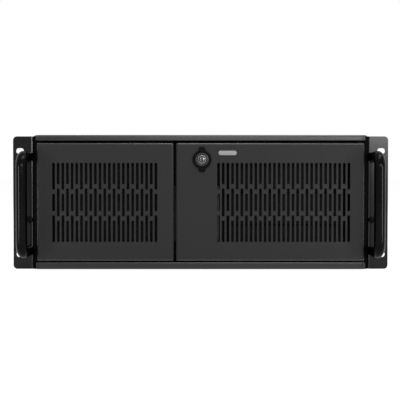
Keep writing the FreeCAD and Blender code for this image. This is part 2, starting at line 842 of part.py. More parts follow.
def lock_body():
    """Turned lock housing: head in front, barrel through the door, bore for the plug."""
    body = new_body("lock_body")
    section = new_sketch(body, "section", "XY_Plane")
    shoulder = "(door_front - rosette_thick)"
    add_polygon(section, [
        ("plug_radius + plug_play", "lock_head_front"), ("lock_head", "lock_head_front"),
        ("lock_head", shoulder), ("lock_barrel", shoulder),
        ("lock_barrel", "lock_tail"), ("plug_radius + plug_play", "lock_tail")])
    revolve(body, section)
    bind(body, x="lock_across", z="lock_rise")
    keep("lock_body", body)


def key_plug():
    """Plug with its keyway and a square tail for the cam."""
    body = new_body("key_plug")
    section = new_sketch(body, "section", "XY_Plane")
    add_polygon(section, [
        ("0", "lock_head_front"), ("plug_radius", "lock_head_front"),
        ("plug_radius", "lock_tail + cam_lift"), ("0", "lock_tail + cam_lift")])
    revolve(body, section)
    tail = new_sketch(body, "tail", "XZ_Plane", "lock_tail + cam_lift")
    add_rectangle(tail, "-cam_square / 2", "cam_square / 2", "-cam_square / 2", "cam_square / 2")
    pad(body, tail, "cam_thick")
    keyway = new_sketch(body, "keyway", "XZ_Plane", "lock_head_front")
    add_rectangle(keyway, "-keyway_wide / 2", "keyway_wide / 2", "-keyway_tall / 2", "keyway_tall / 2")
    pocket(body, keyway, "keyway_deep")
    bind(body, x="lock_across", z="lock_rise")
    keep("key_plug", body)


def lock_clip():
    """Spring clip that slides over the barrel behind the door."""
    body = new_body("lock_clip")
    fork = new_sketch(body, "fork", "XZ_Plane")
    gap = "(lock_barrel + plug_play)"
    add_polygon(fork, [
        ("-clip_half", "-clip_half"), (f"-{gap}", "-clip_half"), (f"-{gap}", gap), (gap, gap),
        (gap, "-clip_half"), ("clip_half", "-clip_half"), ("clip_half", "clip_half"),
        ("-clip_half", "clip_half")])
    pad(body, fork, "clip_thick")
    bind(body, x="lock_across", y="door_front + sheet", z="lock_rise")
    keep("lock_clip", body)


def lock_cam():
    """Cam that hangs straight down while the doors are unlocked."""
    body = new_body("lock_cam")
    plate = new_sketch(body, "plate", "XZ_Plane")
    corner = "cam_half - cam_corner"
    toe = "-cam_reach + cam_corner"
    add_polygon(plate, [
        ("-cam_half", toe), (f"-({corner})", "-cam_reach"), (corner, "-cam_reach"),
        ("cam_half", toe), ("cam_half", corner), (corner, "cam_half"),
        (f"-({corner})", "cam_half"), ("-cam_half", corner)])
    add_rectangle(plate, "-cam_square / 2", "cam_square / 2", "-cam_square / 2", "cam_square / 2")
    pad(body, plate, "cam_thick")
    bind(body, x="lock_across", y="lock_tail + cam_lift", z="lock_rise")
    keep("lock_cam", body)


def cam_screw():
    front = "(lock_tail + cam_lift + cam_thick)"
    nut = make_prism("cam_screw", 6, "cam_nut", "lock_across", "lock_rise", front, f"{front} + nut_thick")
    keep("cam_screw", nut)


def lock_strike():
    """Bent bracket on the front plate whose lip the turned cam sits behind."""
    body = new_body("lock_strike")
    section = new_sketch(body, "section", "XY_Plane", "lock_rise - strike_half")
    inner = "strike_left + strike_sheet"
    add_polygon(section, [
        ("strike_left", "front_edge"), ("strike_lip", "front_edge"),
        ("strike_lip", "front_edge + strike_sheet"), (inner, "front_edge + strike_sheet"),
        (inner, "plate_front - strike_sheet"), ("strike_foot", "plate_front - strike_sheet"),
        ("strike_foot", "plate_front"), ("strike_left", "plate_front")])
    pad(body, section, "2 * strike_half")
    keep("lock_strike", body)


# ---------------------------------------------------------------- ears and handles

def rack_ear(side, sign):
    """Angle bent from thick sheet: the rack flange and a flange along the case's wall."""
    body = new_body(f"{side}_ear")
    angle = new_sketch(body, "angle", "XY_Plane", "-ear_height / 2")
    wall = f"{sign}({HALF})"
    skin = f"{sign}({HALF} + ear_sheet)"
    tip = f"{sign}(rack_width / 2)"
    add_polygon(angle, [
        (wall, "-ear_sheet"), (tip, "-ear_sheet"), (tip, "0"), (skin, "0"),
        (skin, "ear_flange"), (wall, "ear_flange")])
    pad(body, angle, "ear_height")
    round_edges(body, "bend", "ear_bend",
                lambda p, e: runs_along(e, 2) and near(p.y, "-ear_sheet") and near(abs(p.x), HALF))
    round_edges(body, "corners", "ear_corner",
                lambda p, e: runs_along(e, 1) and near(abs(p.x), "rack_width / 2"))
    holes = new_sketch(body, "holes", "XZ_Plane", "-ear_sheet")
    for up in ("-", ""):
        add_obround(holes, f"{sign}(slot_spacing / 2)", f"{up}slot_rise / 2", "slot_long", "slot_wide")
    pocket(body, holes, "ear_sheet")
    keep(f"{side}_ear", body)


def handle(side, sign):
    """Round bar, drawn with twenty fine flats, bent to a bracket whose feet stand on the ear."""
    body = new_body(f"{side}_handle")
    path = new_sketch(body, "path", "YZ_Plane")
    reach = value("handle_reach")
    rise = value("handle_rise")
    bend = value("handle_bend")
    foot = "-ear_sheet"
    base = value(foot)
    grip = base - reach
    low_leg = path.addGeometry(Part.LineSegment(Vector(base, -rise, 0), Vector(grip + bend, -rise, 0)))
    low_circle = Part.Circle(Vector(grip + bend, bend - rise, 0), Vector(0, 0, 1), bend)
    low_bend = path.addGeometry(Part.ArcOfCircle(low_circle, math.pi, 1.5 * math.pi))
    bar = path.addGeometry(Part.LineSegment(Vector(grip, bend - rise, 0), Vector(grip, rise - bend, 0)))
    high_circle = Part.Circle(Vector(grip + bend, rise - bend, 0), Vector(0, 0, 1), bend)
    high_bend = path.addGeometry(Part.ArcOfCircle(high_circle, 0.5 * math.pi, math.pi))
    high_leg = path.addGeometry(Part.LineSegment(Vector(grip + bend, rise, 0), Vector(base, rise, 0)))
    fix_point(path, low_leg, 1, foot, "-handle_rise")
    fix_point(path, high_leg, 2, foot, "handle_rise")
    fix_point(path, low_bend, 3, f"{foot} - handle_reach + handle_bend", "handle_bend - handle_rise")
    fix_point(path, high_bend, 3, f"{foot} - handle_reach + handle_bend", "handle_rise - handle_bend")
    for first, first_end, second, second_end in (
            (low_leg, 2, low_bend, 2), (low_bend, 1, bar, 1),
            (bar, 2, high_bend, 2), (high_bend, 1, high_leg, 1)):
        path.addConstraint(Sketcher.Constraint("Tangent", first, first_end, second, second_end))
    round_bar = new_sketch(body, "round_bar", "XZ_Plane", foot)
    rim = regular_polygon(20, "handle_radius")
    add_polygon(round_bar, [(across, f"{up} - handle_rise") for across, up in rim])
    DOC.recompute()
    pipe = body.newObject("PartDesign::AdditivePipe", f"{body.Name}_pipe")
    pipe.Profile = round_bar
    pipe.Spine = (path, [])
    finish_feature(body, pipe)
    return bind(body, x=f"{sign}handle_half")


def handles():
    """The two bars are alike and stay separate solids of one sub-part."""
    bars = [handle(side, sign) for side, sign in (("left", "-"), ("right", ""))]
    keep("handles", make_group("handles", bars))


# ---------------------------------------------------------------- drive bays, filter and fans

def drive_cage():
    """Open box for three half-height bays, standing on its own side plates."""
    body = new_body("drive_cage")
    left = "(bay_left - sheet)"
    right = "(bay_left + bay_wide + sheet)"
    front = "plate_front + sheet"
    shell = new_sketch(body, "shell", "XZ_Plane", front)
    add_rectangle(shell, left, right, FLOOR, "bay_low + 3 * bay_pitch + sheet")
    add_rectangle(shell, "bay_left", "bay_left + bay_wide", "bay_low", "bay_low + 3 * bay_pitch")
    pad(body, shell, "cage_depth")
    under = new_sketch(body, "under", "XZ_Plane", front)
    add_rectangle(under, "bay_left", "bay_left + bay_wide", FLOOR, "bay_low - sheet")
    pocket(body, under, "cage_depth")
    ledges = new_sketch(body, "ledges", "XZ_Plane", front)
    for bay in (1, 2):
        top = f"bay_low + {bay} * bay_pitch - bay_play"
        add_rectangle(ledges, "bay_left", "bay_left + ledge_wide", f"{top} - ledge_thick", top)
        add_rectangle(ledges, "bay_left + bay_wide - ledge_wide", "bay_left + bay_wide",
                      f"{top} - ledge_thick", top)
    pad(body, ledges, "cage_depth")
    slots = new_sketch(body, "slots", "YZ_Plane", left)
    for bay in range(3):
        middle = f"bay_low + {bay} * bay_pitch + cage_slot_rise"
        add_rectangle(slots, "cage_slot_front", "cage_slot_back", f"{middle} - cage_slot_half",
                      f"{middle} + cage_slot_half")
    pocket(body, slots, "bay_wide + 2 * sheet")
    keep("drive_cage", body)


def bay_covers():
    """Moulded blanks that close the three bays."""
    for bay in range(3):
        body = new_body(f"bay_cover_{bay + 1}")
        face = new_sketch(body, "face", "XZ_Plane")
        wide = "bay_wide - 2 * blank_play"
        tall = "bay_pitch - ledge_thick - blank_gap"
        add_rectangle(face, "0", wide, "0", tall)
        pad(body, face, "blank_deep")
        chamfer_rim(body, "blank_chamfer", "0")
        inside = new_sketch(body, "inside", "XZ_Plane", "blank_deep")
        add_rectangle(inside, "blank_wall", f"{wide} - blank_wall", "blank_wall", f"{tall} - blank_wall")
        pocket(body, inside, "blank_deep - blank_wall", toward=-1)
        bind(body, x="bay_left + blank_play", y="blank_front", z=f"bay_low + {bay} * bay_pitch + bay_play")
        keep(f"bay_cover_{bay + 1}", body)


def filter_frame():
    """Square frame on the front plate with bars that hold the filter pad."""
    body = new_body("filter_frame")
    ring = new_sketch(body, "ring", "XZ_Plane", "plate_front")
    add_rectangle(ring, "-filter_half", "filter_half", "-filter_half", "filter_half")
    pad(body, ring, "filter_deep", toward=-1)
    seat = new_sketch(body, "seat", "XZ_Plane", "plate_front")
    inner = "(filter_half - filter_wall)"
    add_rectangle(seat, f"-{inner}", inner, f"-{inner}", inner)
    pocket(body, seat, "filter_deep - filter_bar", toward=-1)
    windows = new_sketch(body, "windows", "XZ_Plane", "plate_front - filter_deep")
    cell = "filter_cell / 2"
    for column in (-1, 0, 1):
        for row in (-1, 0, 1):
            across = f"{column} * filter_pitch"
            up = f"{row} * filter_pitch"
            add_rectangle(windows, f"{across} - {cell}", f"{across} + {cell}",
                          f"{up} - {cell}", f"{up} + {cell}")
    pocket(body, windows, "filter_bar")
    bind(body, x="left_vent_centre", z="vent_middle")
    keep("filter_frame", body)


def filter_pad():
    half = "(filter_half - filter_wall - filter_play)"
    front = "plate_front - filter_deep + filter_bar + filter_play / 2"
    back = "plate_front - filter_play / 2"
    pad_box = make_box("filter_pad", f"left_vent_centre - {half}", f"left_vent_centre + {half}", front, back,
                       f"vent_middle - {half}", f"vent_middle + {half}")
    keep("filter_pad", pad_box)


def fan_frame(name, size, across, rise, front, struts_front):
    """Square fan housing with a duct and four struts that carry the motor plate."""
    body = new_body(name)
    outer = new_sketch(body, "outer", "XZ_Plane")
    half = f"{size} / 2"
    add_rectangle(outer, f"-{half}", half, f"-{half}", half)
    add_polygon(outer, regular_polygon(24, f"({half} - fan_wall)"))
    pad(body, outer, "fan_deep")
    at = "0" if struts_front else "fan_deep - strut_thick"
    motor = new_sketch(body, "motor", "XZ_Plane", at)
    reach = f"({half} - fan_wall / 2)"
    thick = "strut_half"
    add_polygon(motor, [
        (f"-{thick}", f"-{reach}"), (thick, f"-{reach}"), (thick, f"-{thick}"), (reach, f"-{thick}"),
        (reach, thick), (thick, thick), (thick, reach), (f"-{thick}", reach),
        (f"-{thick}", thick), (f"-{reach}", thick), (f"-{reach}", f"-{thick}"), (f"-{thick}", f"-{thick}")])
    pad(body, motor, "strut_thick")
    plate = new_sketch(body, "motor_plate", "XZ_Plane", at)
    add_polygon(plate, regular_polygon(8, f"{size} / hub_share"))
    pad(body, plate, "strut_thick")
    bind(body, x=across, y=front, z=rise)
    keep(name, body)


def fan_rotor(name, size, across, rise, front, struts_front):
    """Motor cup with flat pitched blades, widening toward their tips."""
    body = new_body(name)
    start = "strut_thick + rotor_gap" if struts_front else "fan_shy"
    end = "fan_deep - fan_shy" if struts_front else "fan_deep - strut_thick - rotor_gap"
    hub = new_sketch(body, "hub", "XZ_Plane", start)
    add_polygon(hub, regular_polygon(20, f"{size} / hub_share"))
    pad(body, hub, f"{end} - ({start})")
    flat = new_sketch(body, "flat", "XY_Plane")
    flat.AttachmentOffset = FreeCAD.Placement(Vector(), FreeCAD.Rotation(Vector(1, 0, 0), 60))
    flat.setExpression("AttachmentOffset.Base.y", link(f"(({start}) + ({end})) / 2"))
    flat.setExpression("AttachmentOffset.Rotation.Angle", link("90 - blade_pitch"))
    root_chord = f"{size} / root_share"
    tip_chord = f"{size} / tip_share"
    tip = f"sqrt(({size} / 2 - fan_wall - fan_play)^2 - ({tip_chord})^2)"
    root = f"{size} / hub_share - root_sunk"
    add_polygon(flat, [
        (root, f"-{root_chord}"), (tip, f"-{tip_chord}"), (tip, tip_chord), (root, root_chord)])
    blade = pad(body, flat, "blade_thick")
    ring = body.newObject("PartDesign::PolarPattern", f"{body.Name}_ring")
    ring.Originals = [blade]
    ring.Axis = ([item for item in body.Origin.OriginFeatures if item.Role == "Y_Axis"][0], [""])
    ring.Angle = 360
    ring.setExpression("Occurrences", link("fan_blades"))
    before = body.Shape.Volume
    finish_feature(body, ring)
    if body.Shape.Volume <= before:
        raise RuntimeError(f"{ring.Name} added nothing")
    bind(body, x=across, y=front, z=rise)
    keep(name, body)


# ---------------------------------------------------------------- control panel

SOCKET_RISES = ("socket_upper", "socket_lower")


def control_panel():
    """Moulded panel for the buttons and sockets, with a skirt through the front plate."""
    body = new_body("control_panel")
    right = "(panel_left + panel_wide)"
    high = "(panel_low + panel_tall)"
    face = new_sketch(body, "face", "XZ_Plane", "plate_front - panel_thick")
    add_rectangle(face, "panel_left", right, "panel_low", high)
    for name in ("power", "reset"):
        wide = f"({name}_wide + button_play)"
        tall = f"({name}_tall + button_play)"
        add_rectangle(face, f"button_across - {wide}", f"button_across + {wide}",
                      f"{name}_rise - {tall}", f"{name}_rise + {tall}")
    wide = "(socket_half_wide + socket_play)"
    tall = "(socket_half_tall + socket_play)"
    for up in SOCKET_RISES:
        add_rectangle(face, f"button_across - {wide}", f"button_across + {wide}",
                      f"{up} - {tall}", f"{up} + {tall}")
    pad(body, face, "panel_thick")
    skirt = new_sketch(body, "skirt", "XZ_Plane", "plate_front")
    for land in ("(panel_land + fold_play)", "(panel_land + fold_play + panel_wall)"):
        add_rectangle(skirt, f"panel_left + {land}", f"{right} - {land}",
                      f"panel_low + {land}", f"{high} - {land}")
    pad(body, skirt, "panel_skirt")
    keep("control_panel", body)


def push_button(name, half_wide, half_tall, rise, front):
    """Rectangular cap held behind the panel by its collar."""
    body = new_body(name)
    cap = new_sketch(body, "cap", "XZ_Plane", front)
    add_rectangle(cap, f"-{half_wide}", half_wide, f"-{half_tall}", half_tall)
    pad(body, cap, f"plate_front + button_play - ({front})")
    chamfer_rim(body, "button_chamfer", front)
    collar = new_sketch(body, "collar", "XZ_Plane", "plate_front + button_play")
    wide = f"({half_wide} + button_collar)"
    tall = f"({half_tall} + button_collar)"
    add_rectangle(collar, f"-{wide}", wide, f"-{tall}", tall)
    pad(body, collar, "button_collar")
    bind(body, x="button_across", z=rise)
    keep(name, body)


def control_board():
    """Small circuit board behind the panel with a switch for each button."""
    back = "(plate_front + panel_skirt)"
    board = make_box("board_slab", "panel_left + panel_board_inset",
                     "panel_left + panel_wide - panel_board_inset", back, f"{back} + panel_board",
                     "panel_low + panel_board_inset", "panel_low + panel_tall - panel_board_inset")
    pieces = [board]
    for name in ("power", "reset"):
        low = f"{name}_rise - switch_half"
        high = f"{name}_rise + switch_half"
        pieces.append(make_box(f"{name}_switch", "button_across - switch_half", "button_across + switch_half",
                               f"{back} - switch_deep", back, low, high))
    keep("control_board", make_fuse("control_board", pieces))


def usb_sockets():
    """Two sockets on the board, each a shell with a tongue inside."""
    sockets = []
    back = "(plate_front + panel_skirt)"
    front = "(plate_front - panel_thick - socket_proud)"
    end = f"{back} - socket_back"
    for number, up in enumerate(SOCKET_RISES):
        wide = "socket_half_wide"
        tall = "socket_half_tall"
        shell = make_box(f"usb_shell_{number}", f"button_across - {wide}", f"button_across + {wide}",
                         front, back, f"{up} - {tall}", f"{up} + {tall}")
        wide = "(socket_half_wide - socket_wall)"
        tall = "(socket_half_tall - socket_wall)"
        mouth = make_box(f"usb_mouth_{number}", f"button_across - {wide}", f"button_across + {wide}",
                         front, end, f"{up} - {tall}", f"{up} + {tall}")
        tongue = make_box(f"usb_tongue_{number}", "button_across - tongue_half", "button_across + tongue_half",
                          f"{front} + socket_back", end, up, f"{up} + tongue_thick")
        hollow = DOC.addObject("Part::Cut", f"usb_hollow_{number}")
        hollow.Base = shell
        hollow.Tool = mouth
        sockets.append(make_fuse(f"usb_socket_{number}", [hollow, tongue]))
    keep("usb_sockets", make_group("usb_sockets", sockets))


def status_lights():
    """Three lamps in a block on the front plate, behind the door's window."""
    front = "plate_front - lamp_block_deep"
    wide = "lamp_block_wide / 2"
    tall = "lamp_block_tall / 2"
    block = make_box("light_block", f"window_across - {wide}", f"window_across + {wide}", front, "plate_front",
                     f"window_rise - {tall}", f"window_rise + {tall}")
    pieces = [block]
    for number in (-1, 0, 1):
        across = f"window_across + {number} * lamp_pitch"
        pieces.append(make_box(f"lamp_{number + 2}", f"{across} - lamp_wide / 2", f"{across} + lamp_wide / 2",
                               f"{front} - lamp_long", front, "window_rise - lamp_tall / 2",
                               "window_rise + lamp_tall / 2"))
    keep("status_lights", make_fuse("status_lights", pieces))


# ---------------------------------------------------------------- card slot covers

def slot_covers():
    """Seven blanks inside the rear plate, each with a tab bent forward at its top."""
    covers = []
    back = "(case_depth - sheet)"
    face = f"{back} - card_blank_sheet"
    high = "card_low + card_tall + card_blank_over"
    for number in range(CARD_SLOTS):
        left = f"card_first - {number} * card_pitch - card_blank_wide / 2"
        right = f"{left} + card_blank_wide"
        plate = make_box(f"slot_plate_{number}", left, right, face, back, "card_low - card_blank_under", high)
        tab = make_box(f"slot_tab_{number}", left, right, f"{face} - card_tab", face,
                       f"{high} - card_blank_sheet", high)
        covers.append(make_fuse(f"slot_cover_{number}", [plate, tab]))
    keep("slot_covers", make_group("slot_covers", covers))


# ---------------------------------------------------------------- build and export

def build():
    base_tray()
    front_plate()
    rear_plate()
    bezel_frame()
    hinge_pins()
    left_door()
    right_door()
    status_window()
    catch_plates()
    door_magnets()
    lock_rosette()
    lock_body()
    key_plug()
    lock_clip()
    lock_cam()
    cam_screw()
    lock_strike()
    for side, sign in (("left", "-"), ("right", "")):
        rack_ear(side, sign)
    handles()
    drive_cage()
    bay_covers()
    filter_frame()
    filter_pad()
    fan_back = "case_depth - sheet - fan_deep"
    fan_frame("front_fan_frame", "big_fan", "left_vent_centre", "vent_middle", "plate_front + sheet", False)
    fan_rotor("front_fan_rotor", "big_fan", "left_vent_centre", "vent_middle", "plate_front + sheet", False)
    for side in ("inner", "outer"):
        across = f"small_fan_{side}"
        fan_frame(f"rear_fan_frame_{side}", "small_fan", across, "small_fan_rise", fan_back, True)
        fan_rotor(f"rear_fan_rotor_{side}", "small_fan", across, "small_fan_rise", fan_back, True)
    control_panel()
    push_button("power_button", "power_wide", "power_tall", "power_rise", "plate_front - power_proud")
    push_button("reset_button", "reset_wide", "reset_tall", "reset_rise", "plate_front - reset_proud")
    control_board()
    usb_sockets()
    status_lights()
    slot_covers()
    cross_brace()
    psu_bracket()
    standoffs()
    top_cover()
    cover_thumbscrews()


def check_and_export():
    DOC.recompute()
    for item in DOC.Objects:
        if "Invalid" in item.State or "Error" in item.State:
            raise RuntimeError(f"{item.Name} failed: {item.State}")
    for part in PARTS:
        if part.Shape.isNull() or not part.Shape.isValid():
            raise RuntimeError(f"{part.Label} has no valid shape")
    os.makedirs("parts", exist_ok=True)
    for part in PARTS:
        part.Shape.exportStep(f"parts/{part.Label}.step")


build()
check_and_export()
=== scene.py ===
"""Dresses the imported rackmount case: a material for every CAD node, and detailed doors, bezel,
handles, lock, filter foam, fan rotors and screws in place of the plain ones, in a plain studio.
Lengths are in millimetres and become metres through MM when a mesh is made; the studio's are in
metres. X is right, the front faces -Y and Z is up, as in the CAD model."""
import json
import math

import bmesh
import bpy
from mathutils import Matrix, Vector, noise

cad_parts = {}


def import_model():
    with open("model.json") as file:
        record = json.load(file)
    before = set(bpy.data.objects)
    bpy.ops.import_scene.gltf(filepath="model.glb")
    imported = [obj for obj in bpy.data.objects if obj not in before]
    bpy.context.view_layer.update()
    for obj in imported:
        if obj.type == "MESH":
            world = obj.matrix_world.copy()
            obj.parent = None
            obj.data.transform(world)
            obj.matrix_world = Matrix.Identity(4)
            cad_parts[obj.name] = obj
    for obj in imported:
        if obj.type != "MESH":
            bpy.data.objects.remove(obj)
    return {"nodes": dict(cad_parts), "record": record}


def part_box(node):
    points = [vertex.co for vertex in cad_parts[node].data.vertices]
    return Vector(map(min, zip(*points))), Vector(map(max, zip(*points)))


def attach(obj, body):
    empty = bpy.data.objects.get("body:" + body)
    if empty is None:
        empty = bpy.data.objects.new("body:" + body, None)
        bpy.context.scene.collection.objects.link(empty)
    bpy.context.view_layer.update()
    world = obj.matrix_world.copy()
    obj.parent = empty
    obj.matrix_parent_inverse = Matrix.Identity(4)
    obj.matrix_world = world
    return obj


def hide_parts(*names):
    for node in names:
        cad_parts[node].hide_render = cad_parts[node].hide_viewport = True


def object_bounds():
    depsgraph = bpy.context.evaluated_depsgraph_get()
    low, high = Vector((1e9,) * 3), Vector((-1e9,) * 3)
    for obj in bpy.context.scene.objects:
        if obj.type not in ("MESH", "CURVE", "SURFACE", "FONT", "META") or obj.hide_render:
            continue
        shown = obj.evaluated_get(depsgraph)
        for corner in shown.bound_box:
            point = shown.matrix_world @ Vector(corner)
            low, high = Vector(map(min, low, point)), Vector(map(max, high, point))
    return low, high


MM = 0.001
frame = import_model()
cad_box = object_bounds()


# ---------------------------------------------------------------- sizes
# These are the CAD model's, apart from the handles' lower legs and the small rounds.

SHEET = 1.2                     # thickness of the doors' steel
DOOR_ROUND = 2.5                # round of their pressed edges
DOOR_CORNER = 3.0
SMALLEST_CORNER = 0.3
SLOT_WIDTH = 3.3
SLOT_CORNER = 0.8
SLOT_PITCH = 5.92               # from one column of slots to the next
SLOT_GAP = 5.5                  # between the slots of a column
LONG_SHORT_LONG = (33.75, 22.0, 33.75)      # slot heights in even columns, from the top
SHORT_LONG_SHORT = (27.0, 35.5, 27.0)       # and in odd ones
FIELD_TOP = 50.9                # where every column starts
VENTS = {"left_door": (23, -122.0), "right_door": (29, 105.7)}      # columns, and their middle
PUNCHED_ROUND = 0.35            # round at the front of a punched hole
WINDOW_LIP = 1.1                # how far the lens laps over its opening

TOP_BAR = 7.3                   # heights of the bezel's bars
FOOT_BAR = 8.8
TOP_ROUNDS = (3.0, 0.7)         # rounds of their front edges, upper and lower
FOOT_ROUNDS = (1.1, 1.8)
BAR_HALF = 209.4                # the bars end here, short of the side strips
BAR_CAP = 3.6                   # length of the cap at each end of a bar
CAP_JOINT = 0.15                # fine gap between a bar and its cap
BEZEL_SIDE = 2.0                # width of the side strips
BEZEL_SIDE_FRONT = -6.0

LOCK = (1.8, 55.3)              # the lock's middle, across and up
LOCK_BARREL = 7.0               # these four are radii
LOCK_HEAD = 8.3
PLUG = 5.6
ROSETTE = 12.0
ROSETTE_LUG = 4.5               # half the width of the rosette's lugs
LUG_CUT = 2.0                   # their cut corners
RUNNING_GAP = 0.05              # between parts that fit into one another

EAR_FACE = -2.5
EAR_SIDE = 217.5
HANDLE_X = 221.3
HANDLE_REACH = 40.5
HANDLE_RISE = 59.0              # the upper leg, above the middle
HANDLE_DROP = 62.0              # the lower leg, below it: 3 mm lower than in the CAD model
HANDLE_BEND = 13.0
HANDLE_RADIUS = 6.9

EAR_SCREW = (220.5, -22.0)      # across and up
WALL_SCREWS_Y = 24
WALL_SCREWS_Z = (-66, -22, 22, 66)
SMALL_FAN_HOLES = 71.5          # hole spacing of an 80 mm fan
CARD_PITCH = 20.32              # from one expansion slot to the next
CARD_SLOTS = 7
TAB_SCREW = (9.2, 4.4)          # from the outer edges of the first slot cover's tab
FAN_BLADES = 7
HUB_SHARE = 0.36                # radius of a fan's hub, as a share of its blades' reach

BOTH_SIDES = (-1, 1)
FORWARDS = (0, -1, 0)
BACKWARDS = (0, 1, 0)
UPWARDS = (0, 0, 1)


def corners(node):
    """The lowest and highest corners of a CAD node."""
    return [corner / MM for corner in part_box(node)]


# ---------------------------------------------------------------- mesh building

SHARP_ANGLE = math.radians(35)  # edges that turn more than this stay sharp
TINY = 1e-6                     # keeps divisions away from zero


class Shell:
    """Collects rings of points and the skins between them, then becomes one mesh object."""

    def __init__(self):
        self.mesh = bmesh.new()
        self.finish = 0         # number of the material that new faces take

    def ring(self, points):
        """A closed ring of points, given in millimetres."""
        return [self.mesh.verts.new(Vector(p) * MM) for p in points]

    def face(self, points):
        """One face between points of rings."""
        self.mesh.faces.new(points).material_index = self.finish

    def bridge(self, first, second):
        """A band of quads between two rings with the same number of points."""
        for i in range(len(first)):
            j = (i + 1) % len(first)
            self.face((first[i], first[j], second[j], second[i]))

    def skin(self, rings):
        """Bands between each ring and the next."""
        for first, second in zip(rings, rings[1:]):
            self.bridge(first, second)

    def solid(self, rings):
        """Bands between the rings, and a face over the first and the last."""
        self.skin(rings)
        self.face(rings[0])
        self.face(rings[-1])

    def plate(self, rings):
        """A flat face with the first ring as its outline and the others as holes."""
        edges = []
        for ring in rings:
            for i in range(len(ring)):
                pair = (ring[i], ring[(i + 1) % len(ring)])
                edges.append(self.mesh.edges.get(pair) or self.mesh.edges.new(pair))
        made = bmesh.ops.triangle_fill(self.mesh, use_beauty=True, edges=edges)
        for item in made["geom"]:
            if isinstance(item, bmesh.types.BMFace):
                item.material_index = self.finish

    def piece(self, name, materials, body, replaces=()):
        """The finished mesh as a piece that rides on a body, in place of CAD nodes or beside them."""
        bmesh.ops.recalc_face_normals(self.mesh, faces=self.mesh.faces[:])
        for face in self.mesh.faces:
            face.smooth = True
        data = bpy.data.meshes.new(name)
        self.mesh.to_mesh(data)
        self.mesh.free()
        data.set_sharp_from_angle(angle=SHARP_ANGLE)
        for material in materials:
            data.materials.append(material)
        thing = bpy.data.objects.new(name, data)
        bpy.context.scene.collection.objects.link(thing)
        thing.modifiers.new("flat faces stay flat", "WEIGHTED_NORMAL").keep_sharp = True
        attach(thing, body)
        if replaces:
            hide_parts(*replaces)
        return thing


def arc(count, start, sweep):
    """Angles in radians from start over sweep, given in degrees, both ends included."""
    return [math.radians(start + sweep * i / count) for i in range(count + 1)]


def box_outline(left, right, low, high, corner, steps=5):
    """(x, z) points of a rectangle with round corners, anticlockwise."""
    centres = [(right - corner, high - corner, 0), (left + corner, high - corner, 90),
               (left + corner, low + corner, 180), (right - corner, low + corner, 270)]
    return [(cx + corner * math.cos(a), cz + corner * math.sin(a))
            for cx, cz, start in centres for a in arc(steps, start, 90)]


def circle_outline(x, z, radius, count=48):
    """(x, z) points of a circle."""
    return [(x + radius * math.cos(a), z + radius * math.sin(a)) for a in arc(count, 0, 360)[:-1]]


def at_depth(points, y):
    """Outline points set at a depth."""
    return [(x, y, z) for x, z in points]


def rounded_front(shell, outline, front, size, steps=5):
    """Rings of a quarter round that ends at the front. outline(inset) gives their points."""
    return [shell.ring(at_depth(outline(size * (1 - math.cos(a))), front + size * (1 - math.sin(a))))
            for a in arc(steps, 0, 90)]


def hole_rings(shell, outline, front, back):
    """The rounded rim and wall of a punched hole. outline(grow) gives its points."""
    rings = [shell.ring(at_depth(outline(PUNCHED_ROUND * (1 - math.sin(a))),
                                 front + PUNCHED_ROUND * (1 - math.cos(a))))
             for a in arc(3, 0, 90)]
    rings.append(shell.ring(at_depth(outline(0), back)))
    shell.skin(rings)
    return rings[0], rings[-1]


def turned_rings(shell, profile, place, axis, count=48):
    """Rings about an axis. The profile lists (radius, distance along the axis); a radius may be a
    function of the angle, which gives hexagons, crosses and knurls."""
    ahead = Vector(axis)
    side = Vector((0, 1, 0)) if abs(ahead.x) > 0.5 else Vector((1, 0, 0))
    up = ahead.cross(side)
    rings = []
    for radius, along in profile:
        reach = radius if callable(radius) else lambda a, r=radius: r
        rings.append(shell.ring([Vector(place) + ahead * along
                                 + (side * math.cos(a) + up * math.sin(a)) * reach(a)
                                 for a in arc(count, 0, 360)[:-1]]))
    return rings


# ---------------------------------------------------------------- screws

def hexagon(half_flats):
    """Radius of a hexagonal socket at an angle."""
    return lambda a: half_flats / math.cos(a % (math.pi / 3) - math.pi / 6)


def cross(arm, half_width_angle=math.radians(15)):
    """Radius of a cross recess at an angle."""
    def reach(a):
        turn = abs((a + math.pi / 4) % (math.pi / 2) - math.pi / 4)
        if turn <= half_width_angle + TINY:
            return arm / math.cos(turn)
        return arm * math.tan(half_width_angle) / math.sin(turn)
    return reach


def box_reach(half_wide, half_tall):
    """Radius of a rectangle at an angle."""
    return lambda a: min(half_wide / max(abs(math.cos(a)), TINY),
                         half_tall / max(abs(math.sin(a)), TINY))


# Screw heads: radius, height, outline of the recess, depth of the recess.
EAR_HEAD = (4.6, 2.6, hexagon(1.9), 1.6)
HANDLE_HEAD = (4.8, 0.38, hexagon(2.0), 0.3)
WALL_HEAD = (4.0, 0.45, cross(2.2), 0.4)
FAN_HEAD = (3.4, 1.3, cross(2.0), 0.8)
TAB_HEAD = (3.2, 1.8, cross(2.0), 1.0)


def screw(shell, place, axis, radius, height, recess, depth):
    """A screw head standing on a surface: rolled edge, domed top and a recess of a given outline."""
    rim = 0.3 * height          # the dome rises from here
    flat, curve = 0.6, 0.4      # shares of the radius
    dome = [(radius * (flat + curve * math.cos(a)), rim + (height - rim) * math.sin(a))
            for a in arc(5, 0, 90)]
    foot = [(radius * 0.97, 0.0)]
    top = [(recess, height), (recess, height - depth)]
    shell.solid(turned_rings(shell, foot + dome + top, place, axis))


def screws(name, material, places, axis, head):
    """A set of like screws on the case."""
    shell = Shell()
    for place in places:
        screw(shell, place, axis, *head)
    shell.piece(name, [material], "case")


